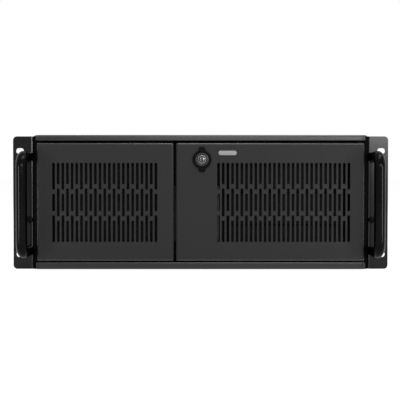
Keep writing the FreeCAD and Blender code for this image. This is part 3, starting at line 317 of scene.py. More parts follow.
def ear_screws():
    """Socket-head screws on the ears, the handles' and the side walls' screws behind them."""
    across, up = EAR_SCREW
    screws("ear_screws", ENAMEL,
           [(side * across, EAR_FACE, up) for side in BOTH_SIDES], FORWARDS, EAR_HEAD)
    screws("handle_screws", DARK_METAL,
           [(side * HANDLE_X, 0, leg) for side in BOTH_SIDES for leg in (HANDLE_RISE, -HANDLE_DROP)],
           BACKWARDS, HANDLE_HEAD)
    for side, name in ((-1, "left"), (1, "right")):
        screws(f"{name}_ear_wall_screws", DARK_METAL,
               [(side * EAR_SIDE, WALL_SCREWS_Y, z) for z in WALL_SCREWS_Z],
               (side, 0, 0), WALL_HEAD)


def rear_screws():
    """Screws through the rear plate into the fans, and on the card slot covers' tabs."""
    back = corners("rear_plate")[1].y
    frames = [corners(f"rear_fan_frame_{side}") for side in ("inner", "outer")]
    half = SMALL_FAN_HOLES / 2
    holes = [((low.x + high.x) / 2 + side * half, back, (low.z + high.z) / 2 - half)
             for low, high in frames for side in BOTH_SIDES]
    screws("fan_screws", DARK_METAL, holes, BACKWARDS, FAN_HEAD)
    low, high = corners("slot_covers")
    tabs = [(high.x - TAB_SCREW[0] - number * CARD_PITCH, low.y + TAB_SCREW[1], high.z)
            for number in range(CARD_SLOTS)]
    screws("slot_cover_screws", NICKEL, tabs, UPWARDS, TAB_HEAD)


def knurled(radius, ridges, depth=0.28):
    """Radius of a knurled edge at an angle."""
    return lambda a: radius - depth * (0.5 - 0.5 * math.cos(ridges * a))


def thumbscrews():
    """Knurled thumbscrews on the cover's rear flange, with a turned collar and a cross recess."""
    shell = Shell()
    low, high = corners("cover_thumbscrews")
    radius = (high.z - low.z) / 2
    long = high.y - low.y
    collar = radius - 1.4
    dish = long - 0.4
    grip = knurled(radius, 36)
    recess = cross(2.6)
    profile = [(collar, 0), (collar, 1.2), (radius - 0.6, 1.4), (grip, 1.9), (grip, long - 0.9),
               (radius - 0.7, long), (radius - 2.2, long), (radius - 2.5, dish), (recess, dish),
               (recess, long - 2.2)]
    for x in (low.x + radius, high.x - radius):
        place = (x, low.y, (low.z + high.z) / 2)
        shell.solid(turned_rings(shell, profile, place, BACKWARDS, count=288))
    shell.piece("knurled_thumbscrews", [NICKEL], "lid", ("cover_thumbscrews",))


# ---------------------------------------------------------------- materials

PAINT_TONE = 35.0               # scales of the paints' noise, in cells to the metre
PAINT_GLOSS = 420.0
PAINT_GRAIN = 1400.0
MIX_A, MIX_B, MIX_RESULT = 6, 7, 2      # the Mix node's colour sockets


class Finish:
    """A node material with a Principled shader and the few nodes that its look needs."""

    def __init__(self, name, colour, roughness, metallic=0.0, specular=0.5):
        self.material = bpy.data.materials.new(name)
        self.material.use_nodes = True
        self.tree = self.material.node_tree
        self.shader = self.tree.nodes["Principled BSDF"]
        self.shader.inputs["Base Color"].default_value = (*colour, 1)
        self.shader.inputs["Roughness"].default_value = roughness
        self.shader.inputs["Metallic"].default_value = metallic
        self.shader.inputs["Specular IOR Level"].default_value = specular
        self.colour = colour
        self.place = self.tree.nodes.new("ShaderNodeTexCoord").outputs["Object"]

    def node(self, kind, **values):
        """A new node, with values for its input sockets."""
        made = self.tree.nodes.new(kind)
        for name, value in values.items():
            made.inputs[name.replace("_", " ")].default_value = value
        return made

    def link(self, source, target):
        self.tree.links.new(source, target)

    def stretched(self, x, y, z):
        """Object coordinates scaled by axis, for brushed and drawn grain."""
        mapping = self.tree.nodes.new("ShaderNodeMapping")
        mapping.inputs["Scale"].default_value = (x, y, z)
        self.link(self.place, mapping.inputs["Vector"])
        return mapping.outputs["Vector"]

    def noise(self, scale, detail=3.0, roughness=0.5, place=None):
        """Cloudy noise, which lies mostly between 0.3 and 0.7."""
        made = self.node("ShaderNodeTexNoise", Scale=scale, Detail=detail, Roughness=roughness)
        self.link(place or self.place, made.inputs["Vector"])
        return made.outputs["Fac"]

    def cells(self, scale, output="Color", feature="F1"):
        """A pattern of irregular cells."""
        made = self.node("ShaderNodeTexVoronoi", Scale=scale)
        made.feature = feature
        self.link(self.place, made.inputs["Vector"])
        return made.outputs[output]

    def spread(self, source, low, high, from_low=0.3, from_high=0.7):
        """A value carried over from the range from_low to from_high to the range low to high."""
        made = self.node("ShaderNodeMapRange", From_Min=from_low, From_Max=from_high,
                         To_Min=low, To_Max=high)
        self.link(source, made.inputs["Value"])
        return made.outputs["Result"]

    def shade(self, source, dark, light):
        """The base colour runs from dark to light, as parts of itself, with a texture."""
        ramp = self.tree.nodes.new("ShaderNodeMix")
        ramp.data_type = "RGBA"
        for socket, part in ((MIX_A, dark), (MIX_B, light)):
            ramp.inputs[socket].default_value = (*[min(1, part * c) for c in self.colour], 1)
        self.link(source, ramp.inputs["Factor"])
        self.link(ramp.outputs[MIX_RESULT], self.shader.inputs["Base Color"])

    def turned(self, axis, low, high):
        """0 where the surface looks away from an axis of its object, 1 where it looks along it. The
        change lies between low and high, which are shares of the normal along that axis."""
        split = self.tree.nodes.new("ShaderNodeSeparateXYZ")
        self.link(self.tree.nodes["Texture Coordinate"].outputs["Normal"], split.inputs["Vector"])
        size = self.tree.nodes.new("ShaderNodeMath")
        size.operation = "ABSOLUTE"
        self.link(split.outputs[axis], size.inputs[0])
        return self.spread(size.outputs[0], 0.0, 1.0, low, high)

    def rough(self, source, low, high):
        """The roughness runs from low to high with a texture."""
        self.link(self.spread(source, low, high), self.shader.inputs["Roughness"])

    def specular_by_mask(self, mask, plain, masked_level):
        """The specular level runs from plain to masked_level with a mask of 0 to 1. It lays on the
        paints' painted sheen and the tray's painted shade.
        """
        level = self.spread(mask, plain, masked_level, 0.0, 1.0)
        self.link(level, self.shader.inputs["Specular IOR Level"])

    def bump(self, source, height, strength=1.0):
        """Bumps of a height in millimetres."""
        made = self.node("ShaderNodeBump", Strength=strength, Distance=height * MM)
        self.link(source, made.inputs["Height"])
        self.link(made.outputs["Normal"], self.shader.inputs["Normal"])


def powder_coat(name, level, rough, specular, sheen_axis=None, sheen_level=0.6, relief=0.05):
    """Fine textured paint: an even grain, with slow changes of tone and gloss. Where it turns towards
    the sheen axis, over a bend or an edge, its specular level rises to the sheen level: a painted
    sheen in place of lamp highlights."""
    paint = Finish(name, (level, level, level * 1.03), sum(rough) / 2, specular=specular)
    paint.shade(paint.noise(PAINT_TONE), 0.93, 1.07)
    paint.rough(paint.noise(PAINT_GLOSS), *rough)
    paint.bump(paint.noise(PAINT_GRAIN, detail=4.0, roughness=0.6), relief, 0.5)
    # painted sheen on bends and edges that turn towards the sheen axis
    if sheen_axis:
        paint.specular_by_mask(paint.turned(sheen_axis, 0.05, 0.35), specular, sheen_level)
    return paint.material


def tray_coat_with_painted_shade():
    """The base tray's paint. Where its faces look forwards or backwards it is painted dark and nearly
    without gloss: painted shade for the gap between the bezel and the ears.
    """
    rough, specular = (0.52, 0.6), 0.13
    paint = Finish("tray_paint", (0.012, 0.012, 0.0124), sum(rough) / 2, specular=specular)
    # edge: mask of the painted shade, on faces that look along Y
    edge = paint.turned("Y", 0.7, 0.95)
    paint.shade(edge, 1.0, 0.15)
    paint.rough(paint.noise(PAINT_GLOSS), *rough)
    paint.specular_by_mask(edge, specular, 0.02)
    paint.bump(paint.noise(PAINT_GRAIN, detail=4.0, roughness=0.6), 0.05, 0.5)
    return paint.material


def gloss_enamel():
    """Smooth stoved enamel on the handles, with a faint orange peel."""
    enamel = Finish("handle_enamel", (0.001, 0.001, 0.0011), 0.14, specular=0.06)
    enamel.shade(enamel.noise(60.0), 0.7, 1.3)
    enamel.rough(enamel.noise(120.0), 0.1, 0.18)
    enamel.bump(enamel.noise(420.0, detail=1.0), 0.02, 0.3)
    return enamel.material


def zinc_plate():
    """Galvanised sheet: spangle cells that differ a little in tone and gloss, and rolling lines."""
    zinc = Finish("zinc_sheet", (0.38, 0.395, 0.41), 0.4, metallic=1.0)
    cells = zinc.cells(140.0)
    split = zinc.tree.nodes.new("ShaderNodeSeparateColor")
    zinc.link(cells, split.inputs["Color"])
    zinc.shade(split.outputs["Red"], 0.8, 1.12)
    zinc.link(zinc.spread(split.outputs["Green"], 0.3, 0.5, 0, 1), zinc.shader.inputs["Roughness"])
    zinc.bump(zinc.noise(1.0, place=zinc.stretched(1500.0, 60.0, 1500.0)), 0.01, 0.4)
    return zinc.material


def turned_metal(name, level, rough):
    """Turned or plated metal with fine marks and a little tarnish."""
    metal = Finish(name, (level, level * 0.99, level * 0.96), rough[0], metallic=1.0)
    metal.shade(metal.noise(400.0), 0.85, 1.1)
    metal.rough(metal.noise(900.0), *rough)
    metal.bump(metal.noise(4000.0, detail=2.0), 0.004, 0.4)
    return metal.material


def moulded(name, level, rough=(0.42, 0.58), specular=0.35):
    """Moulded black plastic with a spark-eroded grain."""
    plastic = Finish(name, (level, level, level), sum(rough) / 2, specular=specular)
    plastic.shade(plastic.noise(80.0), 0.85, 1.15)
    plastic.rough(plastic.noise(300.0), *rough)
    plastic.bump(plastic.noise(2600.0, detail=2.0), 0.02, 0.4)
    return plastic.material


def frosted_lens():
    """The pale diffusing window in the right door."""
    lens = Finish("frosted_lens", (0.205, 0.21, 0.218), 0.35, specular=0.3)
    lens.shade(lens.noise(260.0, detail=2.0), 0.82, 1.15)
    lens.rough(lens.noise(500.0), 0.28, 0.45)
    lens.bump(lens.noise(1500.0), 0.03, 0.5)
    return lens.material


def open_foam():
    """Open-cell filter foam: raised cell walls painted lighter and the hollows between them painted
    darker, as painted shade in the pores.
    """
    foam = Finish("filter_foam", (0.012, 0.012, 0.013), 0.95, specular=0.1)
    walls = foam.cells(900.0, output="Distance", feature="DISTANCE_TO_EDGE")
    # painted shade: hollows darker, walls lighter
    foam.shade(foam.spread(walls, 1.0, 0.0, 0.0, 0.25), 0.25, 1.7)
    foam.bump(foam.spread(walls, 1.0, 0.0, 0.0, 0.3), 0.8, 1.0)
    return foam.material


def circuit_board():
    """Green solder mask over copper lines that run in straight lanes."""
    board = Finish("board_green", (0.008, 0.075, 0.03), 0.35, specular=0.5)
    lanes = board.noise(1.0, detail=0.0, place=board.stretched(900.0, 900.0, 60.0))
    copper = board.spread(lanes, 0.0, 1.0, 0.46, 0.54)
    board.shade(copper, 0.7, 1.5)
    board.rough(board.noise(200.0), 0.28, 0.42)
    board.bump(copper, 0.03, 0.6)
    return board.material


CASE_PAINT = powder_coat("case_paint", level=0.014, rough=(0.52, 0.6), specular=0.14)
TRAY_PAINT = tray_coat_with_painted_shade()
# near-black: painted shade on the parts behind the doors
INNER_SHADE_PAINT = powder_coat("inner_shade_paint", level=0.003, rough=(0.7, 0.8), specular=0.05)
DOOR_PAINT = powder_coat("door_paint", level=0.016, rough=(0.56, 0.66), specular=0.12)
# painted sheen on the rim's edges that turn up or down
DOOR_RIM = powder_coat("door_rim_paint", level=0.012, rough=(0.24, 0.3), specular=0.13,
                       sheen_axis="Z", sheen_level=1.0)
# painted sheen on the bars' upper and lower rounds
BEZEL_PAINT = powder_coat("bezel_paint", level=0.005, rough=(0.3, 0.36), specular=0.28,
                          sheen_axis="Z", sheen_level=0.5)
# painted sheen on the ears' bends, which turn sideways
EAR_PAINT = powder_coat("ear_paint", level=0.0015, rough=(0.18, 0.22), specular=0.18,
                        sheen_axis="X", relief=0.02)
# near-black and almost without gloss: painted shade on the bezel's set-back side strips
RECESS_SHADE_PAINT = powder_coat("recess_shade_paint", level=0.0012, rough=(0.5, 0.6), specular=0.02)
ENAMEL = gloss_enamel()
ZINC = zinc_plate()
NICKEL = turned_metal("nickel", level=0.42, rough=(0.2, 0.34))
LOCK_METAL = turned_metal("lock_metal", level=0.2, rough=(0.2, 0.28))
PLUG_METAL = turned_metal("plug_metal", level=0.11, rough=(0.2, 0.28))
BARREL_METAL = turned_metal("barrel_metal", level=0.032, rough=(0.3, 0.4))
DARK_METAL = turned_metal("dark_metal", level=0.055, rough=(0.3, 0.4))
# near-black: painted shade in the plug's keyway and groove
PLUG_SHADE_METAL = turned_metal("plug_shade_metal", level=0.012, rough=(0.4, 0.5))
PLASTIC = moulded("black_plastic", level=0.012)
# near-black: painted shade on the plastic behind the doors
INNER_SHADE_PLASTIC = moulded("inner_shade_plastic", level=0.004, rough=(0.6, 0.75), specular=0.08)
ROSETTE_PLASTIC = moulded("rosette_plastic", level=0.002, rough=(0.4, 0.5), specular=0.03)
LENS = frosted_lens()
FOAM = open_foam()
BOARD = circuit_board()

SLOT_MATERIAL = {
    "case_paint": CASE_PAINT, "handle_enamel": ENAMEL, "zinc_sheet": ZINC, "lock_metal": LOCK_METAL,
    "black_plastic": PLASTIC, "clear_window": LENS, "filter_foam": FOAM, "board_green": BOARD,
}


def node_slot(name):
    """The record's material slot of a CAD node, or the case's paint."""
    for part in frame["record"]["subparts"]:
        if part["node"] == name:
            return part["material_slot"]
    return "case_paint"


def dress_nodes():
    """Gives each CAD node that stays its finish. What stands behind the doors is near-black and matt:
    painted shade for the dark inside seen through the slots.
    """
    special = {"left_ear": EAR_PAINT, "right_ear": EAR_PAINT, "front_plate": INNER_SHADE_PAINT,
               "base_tray": TRAY_PAINT, "hinge_pins": INNER_SHADE_PAINT, "lock_strike": INNER_SHADE_PAINT,
               "left_catch_plate": INNER_SHADE_PAINT, "right_catch_plate": INNER_SHADE_PAINT,
               "filter_frame": INNER_SHADE_PLASTIC}
    special.update({f"bay_cover_{number}": INNER_SHADE_PLASTIC for number in (1, 2, 3)})
    for name, thing in frame["nodes"].items():
        thing.data.materials.clear()
        thing.data.materials.append(special.get(name, SLOT_MATERIAL[node_slot(name)]))


# ---------------------------------------------------------------- doors

def vent_slots(columns, centre):
    """(x, z, height) of every slot of a door: two column kinds take turns, so the rows interlock."""
    slots = []
    for column in range(columns):
        x = centre + (column - (columns - 1) / 2) * SLOT_PITCH
        top = FIELD_TOP
        for height in LONG_SHORT_LONG if column % 2 == 0 else SHORT_LONG_SHORT:
            slots.append((x, top - height / 2, height))
            top -= height + SLOT_GAP
    return slots


def slot_hole(x, z, height):
    """The outline of one slot, as a function of how far it is grown."""
    return lambda grow: box_outline(x - SLOT_WIDTH / 2 - grow, x + SLOT_WIDTH / 2 + grow,
                                    z - height / 2 - grow, z + height / 2 + grow,
                                    SLOT_CORNER + grow, 3)


def door(name, other_holes):
    """A pressed steel door: round edges, a return all round, and its staggered field of slots."""
    low, high = corners(name)
    shell = Shell()

    def outline(inset):
        return box_outline(low.x + inset, high.x - inset, low.z + inset, high.z - inset,
                           max(DOOR_CORNER - inset, SMALLEST_CORNER))

    face = low.y + SHEET
    # the rim and rounded front take door_rim_paint, with its painted sheen
    shell.finish = 1
    outer = [shell.ring(at_depth(outline(0), high.y))]
    outer += rounded_front(shell, outline, low.y, DOOR_ROUND)
    shell.skin(outer)
    shell.finish = 0
    inner = [shell.ring(at_depth(outline(SHEET), high.y))]
    inner += rounded_front(shell, lambda inset: outline(SHEET + inset), face, DOOR_ROUND - SHEET, 3)
    shell.skin(inner)
    shell.bridge(outer[0], inner[0])
    fronts, backs = [outer[-1]], [inner[-1]]
    for hole in [slot_hole(*slot) for slot in vent_slots(*VENTS[name])] + other_holes:
        near, far = hole_rings(shell, hole, low.y, face)
        fronts.append(near)
        backs.append(far)
    shell.plate(fronts)
    shell.plate(backs)
    shell.piece(f"{name}_skin", [DOOR_PAINT, DOOR_RIM], name, (name,))


def window_outline(inset):
    """The round-ended outline of the status window."""
    low, high = corners("status_window")
    round_end = (high.z - low.z) / 2 - inset - 0.01
    return box_outline(low.x + inset, high.x - inset, low.z + inset, high.z - inset, round_end, 10)


def doors():
    """Both doors, the right one with its lock hole and window opening."""
    door("left_door", [])
    door("right_door", [
        lambda grow: circle_outline(*LOCK, LOCK_BARREL + 2 * RUNNING_GAP + grow),
        lambda grow: window_outline(WINDOW_LIP - grow)])


def status_window():
    """The pale lens: a rounded lip on the door and a plug through it."""
    low, high = corners("status_window")
    door_face = corners("right_door")[0].y
    shell = Shell()
    flat = 2.6                  # inset at which the crowned face becomes flat
    fall = 0.06                 # how steeply it falls off outside that
    crown = [shell.ring(at_depth(window_outline(inset), low.y + fall * (flat - inset) ** 2))
             for inset in (flat, 1.9, 1.4, 1.05)]
    wide, deep = 0.6, 0.55      # the round of the lip
    lip_front = low.y + 0.15
    lip = [shell.ring(at_depth(window_outline(wide * (1 - math.sin(a))),
                               lip_front + deep * (1 - math.cos(a))))
           for a in arc(5, 0, 90)]
    bore = WINDOW_LIP + RUNNING_GAP
    plug = [shell.ring(at_depth(window_outline(inset), y))
            for inset, y in ((0, door_face), (bore, door_face), (bore, high.y))]
    shell.skin(crown)
    shell.face(crown[0])
    shell.finish = 1
    shell.skin(crown[-1:] + lip + plug)
    shell.face(plug[-1])
    shell.piece("window_lens", [LENS, PLASTIC], "right_door", ("status_window",))


# ---------------------------------------------------------------- bezel frame

def bar_section(low, high, front, back, up, down):
    """A function of an inset that gives the (y, z) points round a bar. Up and down are the rounds
    of its front edges."""
    def section(inset):
        upper, lower = (max(size - inset, 0.1) for size in (up, down))
        near = front + inset
        top = high - inset
        foot = low + inset
        return ([(back, top)]
                + [(near + upper * (1 - math.sin(a)), top - upper * (1 - math.cos(a)))
                   for a in arc(8, 0, 90)]
                + [(near + lower * (1 - math.cos(a)), foot + lower * (1 - math.sin(a)))
                   for a in arc(6, 0, 90)]
                + [(back, foot)])
    return section


def bar(shell, near, far, section, near_round, far_round):
    """A bar along X whose ends are rounded."""
    sense = 1 if far > near else -1
    ends = [(near + sense * near_round * (1 - math.cos(a)), near_round * (1 - math.sin(a)))
            for a in arc(4, 0, 90)]
    ends += [(far - sense * far_round * (1 - math.sin(a)), far_round * (1 - math.cos(a)))
             for a in arc(6, 0, 90)]
    shell.solid([shell.ring([(x, y, z) for y, z in section(inset)]) for x, inset in ends])


def bezel():
    """The frame round the doors: two bars with capped ends, and thin side strips set back."""
    low, high = corners("bezel_frame")
    shell = Shell()
    inner = BAR_HALF - BAR_CAP
    joint_round, cap_rounds = 0.35, (0.5, 1.5)
    for section in (bar_section(high.z - TOP_BAR, high.z, low.y, high.y, *TOP_ROUNDS),
                    bar_section(low.z, low.z + FOOT_BAR, low.y, high.y, *FOOT_ROUNDS)):
        bar(shell, -inner, inner, section, joint_round, joint_round)
        for side in BOTH_SIDES:
            bar(shell, side * (inner + CAP_JOINT), side * BAR_HALF, section, *cap_rounds)
    # the side strips take the painted shade of their recess
    shell.finish = 1
    strip_corner, strip_round = 0.6, 0.4
    for side in BOTH_SIDES:
        left, right = sorted((side * (high.x - BEZEL_SIDE), side * high.x))

        def strip(inset):
            return box_outline(left + inset, right - inset, low.z + inset, high.z - inset,
                               strip_corner, 3)

        rings = [shell.ring(at_depth(strip(0), high.y))]
        shell.solid(rings + rounded_front(shell, strip, BEZEL_SIDE_FRONT, strip_round, 3))
    shell.piece("bezel_bars", [BEZEL_PAINT, RECESS_SHADE_PAINT], "case", ("bezel_frame",))


# ---------------------------------------------------------------- handles

def handle(shell, side):
    """A bar bent into a bow, its two legs meeting the ear at right angles."""
    path = [((side * HANDLE_X, EAR_FACE, -HANDLE_DROP), Vector(FORWARDS))]
    for sign, leg in ((-1, HANDLE_DROP), (1, HANDLE_RISE)):
        centre = Vector((side * HANDLE_X, HANDLE_BEND - HANDLE_REACH, sign * (leg - HANDLE_BEND)))
        for a in arc(12, 0, 90):
            turn = a if sign < 0 else math.pi / 2 - a
            out = Vector((0, -math.sin(turn), sign * math.cos(turn)))
            ahead = Vector((0, -math.cos(turn), -sign * math.sin(turn)))
            path.append((centre + out * HANDLE_BEND, ahead if sign < 0 else -ahead))
    path.append(((side * HANDLE_X, EAR_FACE, HANDLE_RISE), Vector(BACKWARDS)))
    rings = []
    across = Vector((1, 0, 0))
    for spot, ahead in path:
        up = ahead.cross(across)
        rings.append(shell.ring([
            Vector(spot) + HANDLE_RADIUS * (across * math.cos(a) + up * math.sin(a))
            for a in arc(36, 0, 360)[:-1]]))
    shell.solid(rings)


def handles():
    """Both handles as one piece, as in the CAD model."""
    shell = Shell()
    for side in BOTH_SIDES:
        handle(shell, side)
    shell.piece("handle_bars", [ENAMEL], "case", ("handles",))


# ---------------------------------------------------------------- lock

LOCK_PLACE = (LOCK[0], 0, LOCK[1])


def rosette_reach(grow):
    """Radius of the lock's rosette at an angle: a disc with a lug above and below."""
    low, high = corners("lock_rosette")
    lug_tall = (high.z - low.z) / 2 + grow
    half = ROSETTE_LUG + grow

    def reach(a):
        across = max(abs(math.cos(a)), TINY)
        up = max(abs(math.sin(a)), TINY)
        lug = min(half / across, lug_tall / up, (half + lug_tall - LUG_CUT) / (across + up))
        return max(ROSETTE + grow, lug)
    return reach


def rosette():
    """The plate under the lock's head, its edge rounded and its middle set back."""
    low, high = corners("lock_rosette")
    bore = LOCK_BARREL + RUNNING_GAP
    seat = low.y + 0.3
    shell = Shell()
    rings = turned_rings(shell, [
        (bore, high.y), (rosette_reach(0), high.y), (rosette_reach(0), low.y + 0.9),
        (rosette_reach(-0.25), low.y + 0.35), (rosette_reach(-0.9), low.y), (LOCK_HEAD + 0.8, low.y),
        (LOCK_HEAD + 0.3, seat), (bore, seat)], LOCK_PLACE, BACKWARDS, count=192)
    shell.skin(rings + rings[:1])
    shell.piece("rosette", [ROSETTE_PLASTIC], "right_door", ("lock_rosette",))


def lock_barrel():
    """The lock's body: a dished head in front of the rosette, and a thread behind it."""
    low, high = corners("lock_body")
    head_back = corners("lock_rosette")[0].y
    bore = PLUG + RUNNING_GAP
    root, crest = LOCK_BARREL - 0.45, LOCK_BARREL - 0.02
    pitch, plain = 0.9, 2.6     # of the thread, and the length without it behind the head
    thread = []
    y = head_back + plain
    while y < high.y - 0.8:
        thread += [(root, y), (crest, y + 0.35), (crest, y + 0.55)]
        y += pitch
    head = [(bore, high.y), (bore, low.y + 1.3), (bore + 0.25, low.y + 0.9), (6.7, low.y + 0.12),
            (7.1, low.y), (7.7, low.y + 0.02), (8.15, low.y + 0.2), (LOCK_HEAD, low.y + 0.55),
            (LOCK_HEAD, head_back), (LOCK_BARREL, head_back)]
    shell = Shell()
    rings = turned_rings(shell, head + thread + [(root, high.y)], LOCK_PLACE, BACKWARDS, count=96)
    shell.skin(rings + rings[:1])
    shell.piece("lock_barrel", [BARREL_METAL], "right_door", ("lock_body",))


def key_plug():
    """The plug that the key turns: a keyway in a disc, a groove round it, a rim, and a square tail
    for the cam. The keyway and the groove are painted near-black: painted shade in these hollows."""
    low, high = corners("key_plug")
    face = low.y + 0.25
    rim_front = face + 0.1
    groove_floor = face + 1.1
    keyway = box_reach(0.8, 2.6)
    tail = box_reach(3, 3)
    tail_start = high.y - 2
    shell = Shell()
    core, disc, groove, rim = (
        turned_rings(shell, profile, LOCK_PLACE, BACKWARDS, count=96) for profile in (
            [(keyway, face + 9), (keyway, face + 0.15), (box_reach(0.95, 2.75), face)],
            [(3.0, face), (3.2, rim_front)],
            [(3.4, groove_floor), (4.0, groove_floor)],
            [(4.2, rim_front), (4.5, low.y + 0.05), (5.1, low.y), (5.4, low.y + 0.12),
             (PLUG, low.y + 0.4), (PLUG, tail_start), (tail, tail_start), (tail, high.y)]))
    shell.skin(core[-1:] + disc)
    shell.skin(rim)
    shell.face(rim[-1])
    # the keyway and the groove take the painted shade
    shell.finish = 1
    shell.skin(core)
    shell.face(core[0])
    shell.skin(disc[-1:] + groove + rim[:1])
    shell.piece("plug_face", [PLUG_METAL, PLUG_SHADE_METAL], "lock_core", ("key_plug",))


# ---------------------------------------------------------------- bay covers, filter and fans

def bay_seals():
    """Rubber strips that close the gaps between the bay covers."""
    front, back = 2.4, 4.8      # depths behind the covers' faces
    short, fit = 0.3, 0.02      # how far they end short of the covers' ends, and their play
    size = 0.3                  # round of their edges
    shell = Shell()
    for number in (1, 2):
        below = corners(f"bay_cover_{number}")[1]
        above = corners(f"bay_cover_{number + 1}")[0]

        def strip(inset):
            return box_outline(above.x + short + inset, below.x - short - inset,
                               below.z + fit + inset, above.z - fit - inset, size, 3)

        rings = [shell.ring(at_depth(strip(0), above.y + back))]
        shell.solid(rings + rounded_front(shell, strip, above.y + front, size, 3))
    shell.piece("bay_seals", [INNER_SHADE_PLASTIC], "case")


def filter_foam():
    """A slab of open-cell foam whose faces swell and sink a little, with soft thinned edges."""
    low, high = corners("filter_pad")
    middle = (low + high) / 2
    half = (high.x - low.x) / 2
    count = 72                  # cells of the grid along each edge
    edge_width = 3.0            # the foam thins over this width
    edge_share = 0.72           # to this share of its thickness
    dent, waves = 0.22, 0.09    # depth of the dents, and how close they lie
    shell = Shell()

    def side(front):
        """One face of the slab, which hands back the ring of points round its edge."""
        rows = []
        for i in range(count + 1):
            row = []
            for j in range(count + 1):
                x = middle.x + (2 * i / count - 1) * half
                z = middle.z + (2 * j / count - 1) * half
                inside = half - max(abs(x - middle.x), abs(z - middle.z))
                share = min(1.0, inside / edge_width)
                soft = noise.noise(Vector((x, z, 7.0 if front else 3.0)) * waves)
                thick = (high.y - low.y) / 2
                thick *= edge_share + (1 - edge_share) * math.sqrt(max(share, 0.0))
                thick -= dent * (soft + 1) * (1 if share > 0 else 0)
                row.append((x, middle.y + (-thick if front else thick), z))
            rows.append(shell.ring(row))
        for first, second in zip(rows, rows[1:]):
            for j in range(count):
                shell.face((first[j], first[j + 1], second[j + 1], second[j]))
        return (rows[0][:] + [row[-1] for row in rows[1:]] + rows[-1][-2::-1]
                + [row[0] for row in rows[-2:0:-1]])

    shell.bridge(side(True), side(False))
    foam = shell.piece("filter_foam_sheet", [FOAM], "case", ("filter_pad",))


def fan_hub(shell, low, high, centre, hub):
    """The rotor's hub: a cup with a rounded cap and a dimple in the middle of its front."""
    cap_round, wall = 1.5, 1.2
    cap = low.y + 0.1
    profile = [(hub * 0.35, low.y + 0.5), (hub * 0.37, low.y), (hub * 0.8, cap)]
    profile += [(hub - cap_round * (1 - math.sin(a)), cap + cap_round * (1 - math.cos(a)))
                for a in arc(5, 0, 90)]
    profile += [(hub, high.y), (hub - wall, high.y), (hub - wall, low.y + 3)]
    shell.solid(turned_rings(shell, profile, (centre.x, 0, centre.z), BACKWARDS, count=64))


def fan_blade(shell, start, centre, hub, tip, deep):
    """One swept blade, narrower and flatter towards its tip. Start is its angle at the hub."""
    spans, chords = 10, 8
    root_depth, tip_gap = 0.6, 0.4      # it starts inside the hub and ends short of the tip
    tip_sweep, sweep_curve = 0.5, 1.4   # radians, as are the widths
    root_width, narrowing = 0.62, 0.14
    slope, flattening = 0.8, 0.3        # share of the rotor's depth, and its loss at the tip
    bow = 1.1
    edge, belly = 0.25, 0.45            # half its thickness at the edges, and more in the middle
    rings = []
    for i in range(spans + 1):
        share = i / spans
        reach = hub - root_depth + (tip - tip_gap - hub) * share
        sweep = tip_sweep * share ** sweep_curve
        width = root_width - narrowing * share
        upper, lower = [], []
        for j in range(chords + 1):
            part = j / chords
            angle = start + sweep + width * (part - 0.5)
            camber = bow * math.sin(math.pi * part)
            y = centre.y + deep * slope * (0.5 - part) * (1 - flattening * share) + camber
            thin = edge + belly * math.sin(math.pi * part)
            across = centre.x + reach * math.cos(angle)
            height = centre.z + reach * math.sin(angle)
            upper.append((across, y - thin, height))
            lower.append((across, y + thin, height))
        rings.append(shell.ring(upper + lower[::-1]))
    shell.solid(rings)


def fan_rotor(node, body):
    """A hub with a domed cap and seven swept blades, twisted from root to tip."""
    low, high = corners(node)
    centre = (low + high) / 2
    tip = max(high.x - centre.x, centre.x - low.x, high.z - centre.z, centre.z - low.z)
    hub = tip * HUB_SHARE
    shell = Shell()
    fan_hub(shell, low, high, centre, hub)
    for number in range(FAN_BLADES):
        start = 2 * math.pi * number / FAN_BLADES
        fan_blade(shell, start, centre, hub, tip, high.y - low.y)
    shell.piece(f"{body}_blades", [PLASTIC], body, (node,))


def fans():
    """The rotors of the front fan and the two rear ones."""
    fan_rotor("front_fan_rotor", "front_fan")
    for side in ("inner", "outer"):
        fan_rotor(f"rear_fan_rotor_{side}", f"rear_fan_{side}")


# ---------------------------------------------------------------- studio
# Lengths are in metres from here on.

FLOOR_Z = cad_box[0].z
FLOOR_HALF = 30.0
FILL, SEEN = 0.3, 1.0           # the world's strength as light, and where it is seen
CAMERA_PLACE = (0.0, -0.9325, 0.033)
CAMERA_TILT = 1.0               # degrees downwards
CAMERA_SHIFT = (-0.0015, -0.0258)
LENS_LENGTH, SENSOR = 65, 36    # millimetres


def seen_rays(tree):
    """1 for rays from the camera and for mirror and see-through rays."""
    rays = tree.nodes.new("ShaderNodeLightPath")
    total = rays.outputs["Is Camera Ray"]
    for kind in ("Is Glossy Ray", "Is Transmission Ray"):
        joined = tree.nodes.new("ShaderNodeMath")
        joined.operation = "MAXIMUM"
        tree.links.new(total, joined.inputs[0])
        tree.links.new(rays.outputs[kind], joined.inputs[1])
        total = joined.outputs[0]
    return total


def world():
    """White where it is seen, and a soft even fill where it lights."""
    made = bpy.data.worlds.new("studio")
    bpy.context.scene.world = made
    made.use_nodes = True
    tree = made.node_tree
    fill = tree.nodes["Background"]
    fill.inputs["Color"].default_value = (1, 1, 1, 1)
    strength = tree.nodes.new("ShaderNodeMapRange")
    strength.inputs["To Min"].default_value = FILL
    strength.inputs["To Max"].default_value = SEEN
    tree.links.new(seen_rays(tree), strength.inputs["Value"])
    tree.links.new(strength.outputs["Result"], fill.inputs["Strength"])


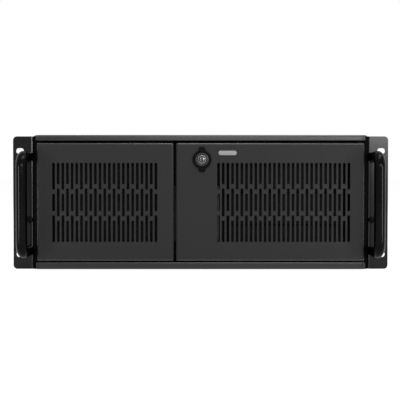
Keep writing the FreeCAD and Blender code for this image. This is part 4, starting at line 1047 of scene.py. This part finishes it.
def floor():
    """A wide pale floor that shows white and keeps the case's shadow."""
    data = bpy.data.meshes.new("floor")
    data.from_pydata([(x * FLOOR_HALF, y * FLOOR_HALF, FLOOR_Z)
                      for x, y in ((-1, -1), (1, -1), (1, 1), (-1, 1))], [], [(0, 1, 2, 3)])
    thing = bpy.data.objects.new("floor", data)
    bpy.context.scene.collection.objects.link(thing)
    material = bpy.data.materials.new("floor")
    material.use_nodes = True
    nodes, links = material.node_tree.nodes, material.node_tree.links
    nodes.remove(nodes["Principled BSDF"])
    plain = nodes.new("ShaderNodeBsdfDiffuse")
    plain.inputs["Color"].default_value = (0.8, 0.8, 0.8, 1)
    shadow = nodes.new("ShaderNodeBsdfDiffuse")
    shadow.inputs["Color"].default_value = (0.62, 0.62, 0.62, 1)
    glow = nodes.new("ShaderNodeEmission")
    glow.inputs["Strength"].default_value = 0.8
    seen = nodes.new("ShaderNodeAddShader")
    links.new(shadow.outputs[0], seen.inputs[0])
    links.new(glow.outputs[0], seen.inputs[1])
    mix = nodes.new("ShaderNodeMixShader")
    links.new(seen_rays(material.node_tree), mix.inputs[0])
    links.new(plain.outputs[0], mix.inputs[1])
    links.new(seen.outputs[0], mix.inputs[2])
    links.new(mix.outputs[0], nodes["Material Output"].inputs["Surface"])
    data.materials.append(material)


def lamp(name, place, target, size, power, spread=180):
    """A soft rectangular lamp turned towards a point. The spread is in degrees."""
    data = bpy.data.lights.new(name, "AREA")
    data.spread = math.radians(spread)
    data.shape = "RECTANGLE"
    data.size, data.size_y = size
    data.energy = power
    thing = bpy.data.objects.new(name, data)
    thing.location = place
    thing.rotation_euler = (Vector(target) - Vector(place)).to_track_quat("-Z", "Y").to_euler()
    bpy.context.scene.collection.objects.link(thing)


def lamps():
    """The key and the spot stand in front on the right, as the case's highlights show. A narrow strip
    close to each side draws the bright line down its handle."""
    lamp("key", (0.3, -1.45, 0.34), (0, 0, 0), (1.2, 0.32), 11)
    lamp("spot", (0.64, -1.44, 0.26), (0, 0, 0), (0.3, 0.24), 3.5)
    lamp("over", (0.3, -0.35, 1.4), (0, 0, 0), (1.4, 0.6), 19)
    lamp("back", (0.0, 1.5, 0.8), (0, 0.4, 0), (1.4, 0.6), 6)
    for side, name in ((-1, "strip_left"), (1, "strip_right")):
        lamp(name, (side * 0.54, -0.36, -0.004), (side * 0.264, -0.006, -0.004), (0.078, 0.158),
             0.054, spread=30)


def camera():
    """Straight in front and a little above the middle of the doors."""
    data = bpy.data.cameras.new("camera")
    data.lens = LENS_LENGTH
    data.sensor_width = SENSOR
    data.shift_x, data.shift_y = CAMERA_SHIFT
    thing = bpy.data.objects.new("camera", data)
    thing.location = CAMERA_PLACE
    thing.rotation_euler = (math.radians(90 - CAMERA_TILT), 0, 0)
    bpy.context.scene.collection.objects.link(thing)
    bpy.context.scene.camera = thing


dress_nodes()
doors()
status_window()
bezel()
handles()
bay_seals()
rosette()
lock_barrel()
key_plug()
filter_foam()
fans()
ear_screws()
rear_screws()
thumbscrews()
world()
floor()
lamps()
camera()
bpy.context.scene.view_settings.view_transform = "Standard"
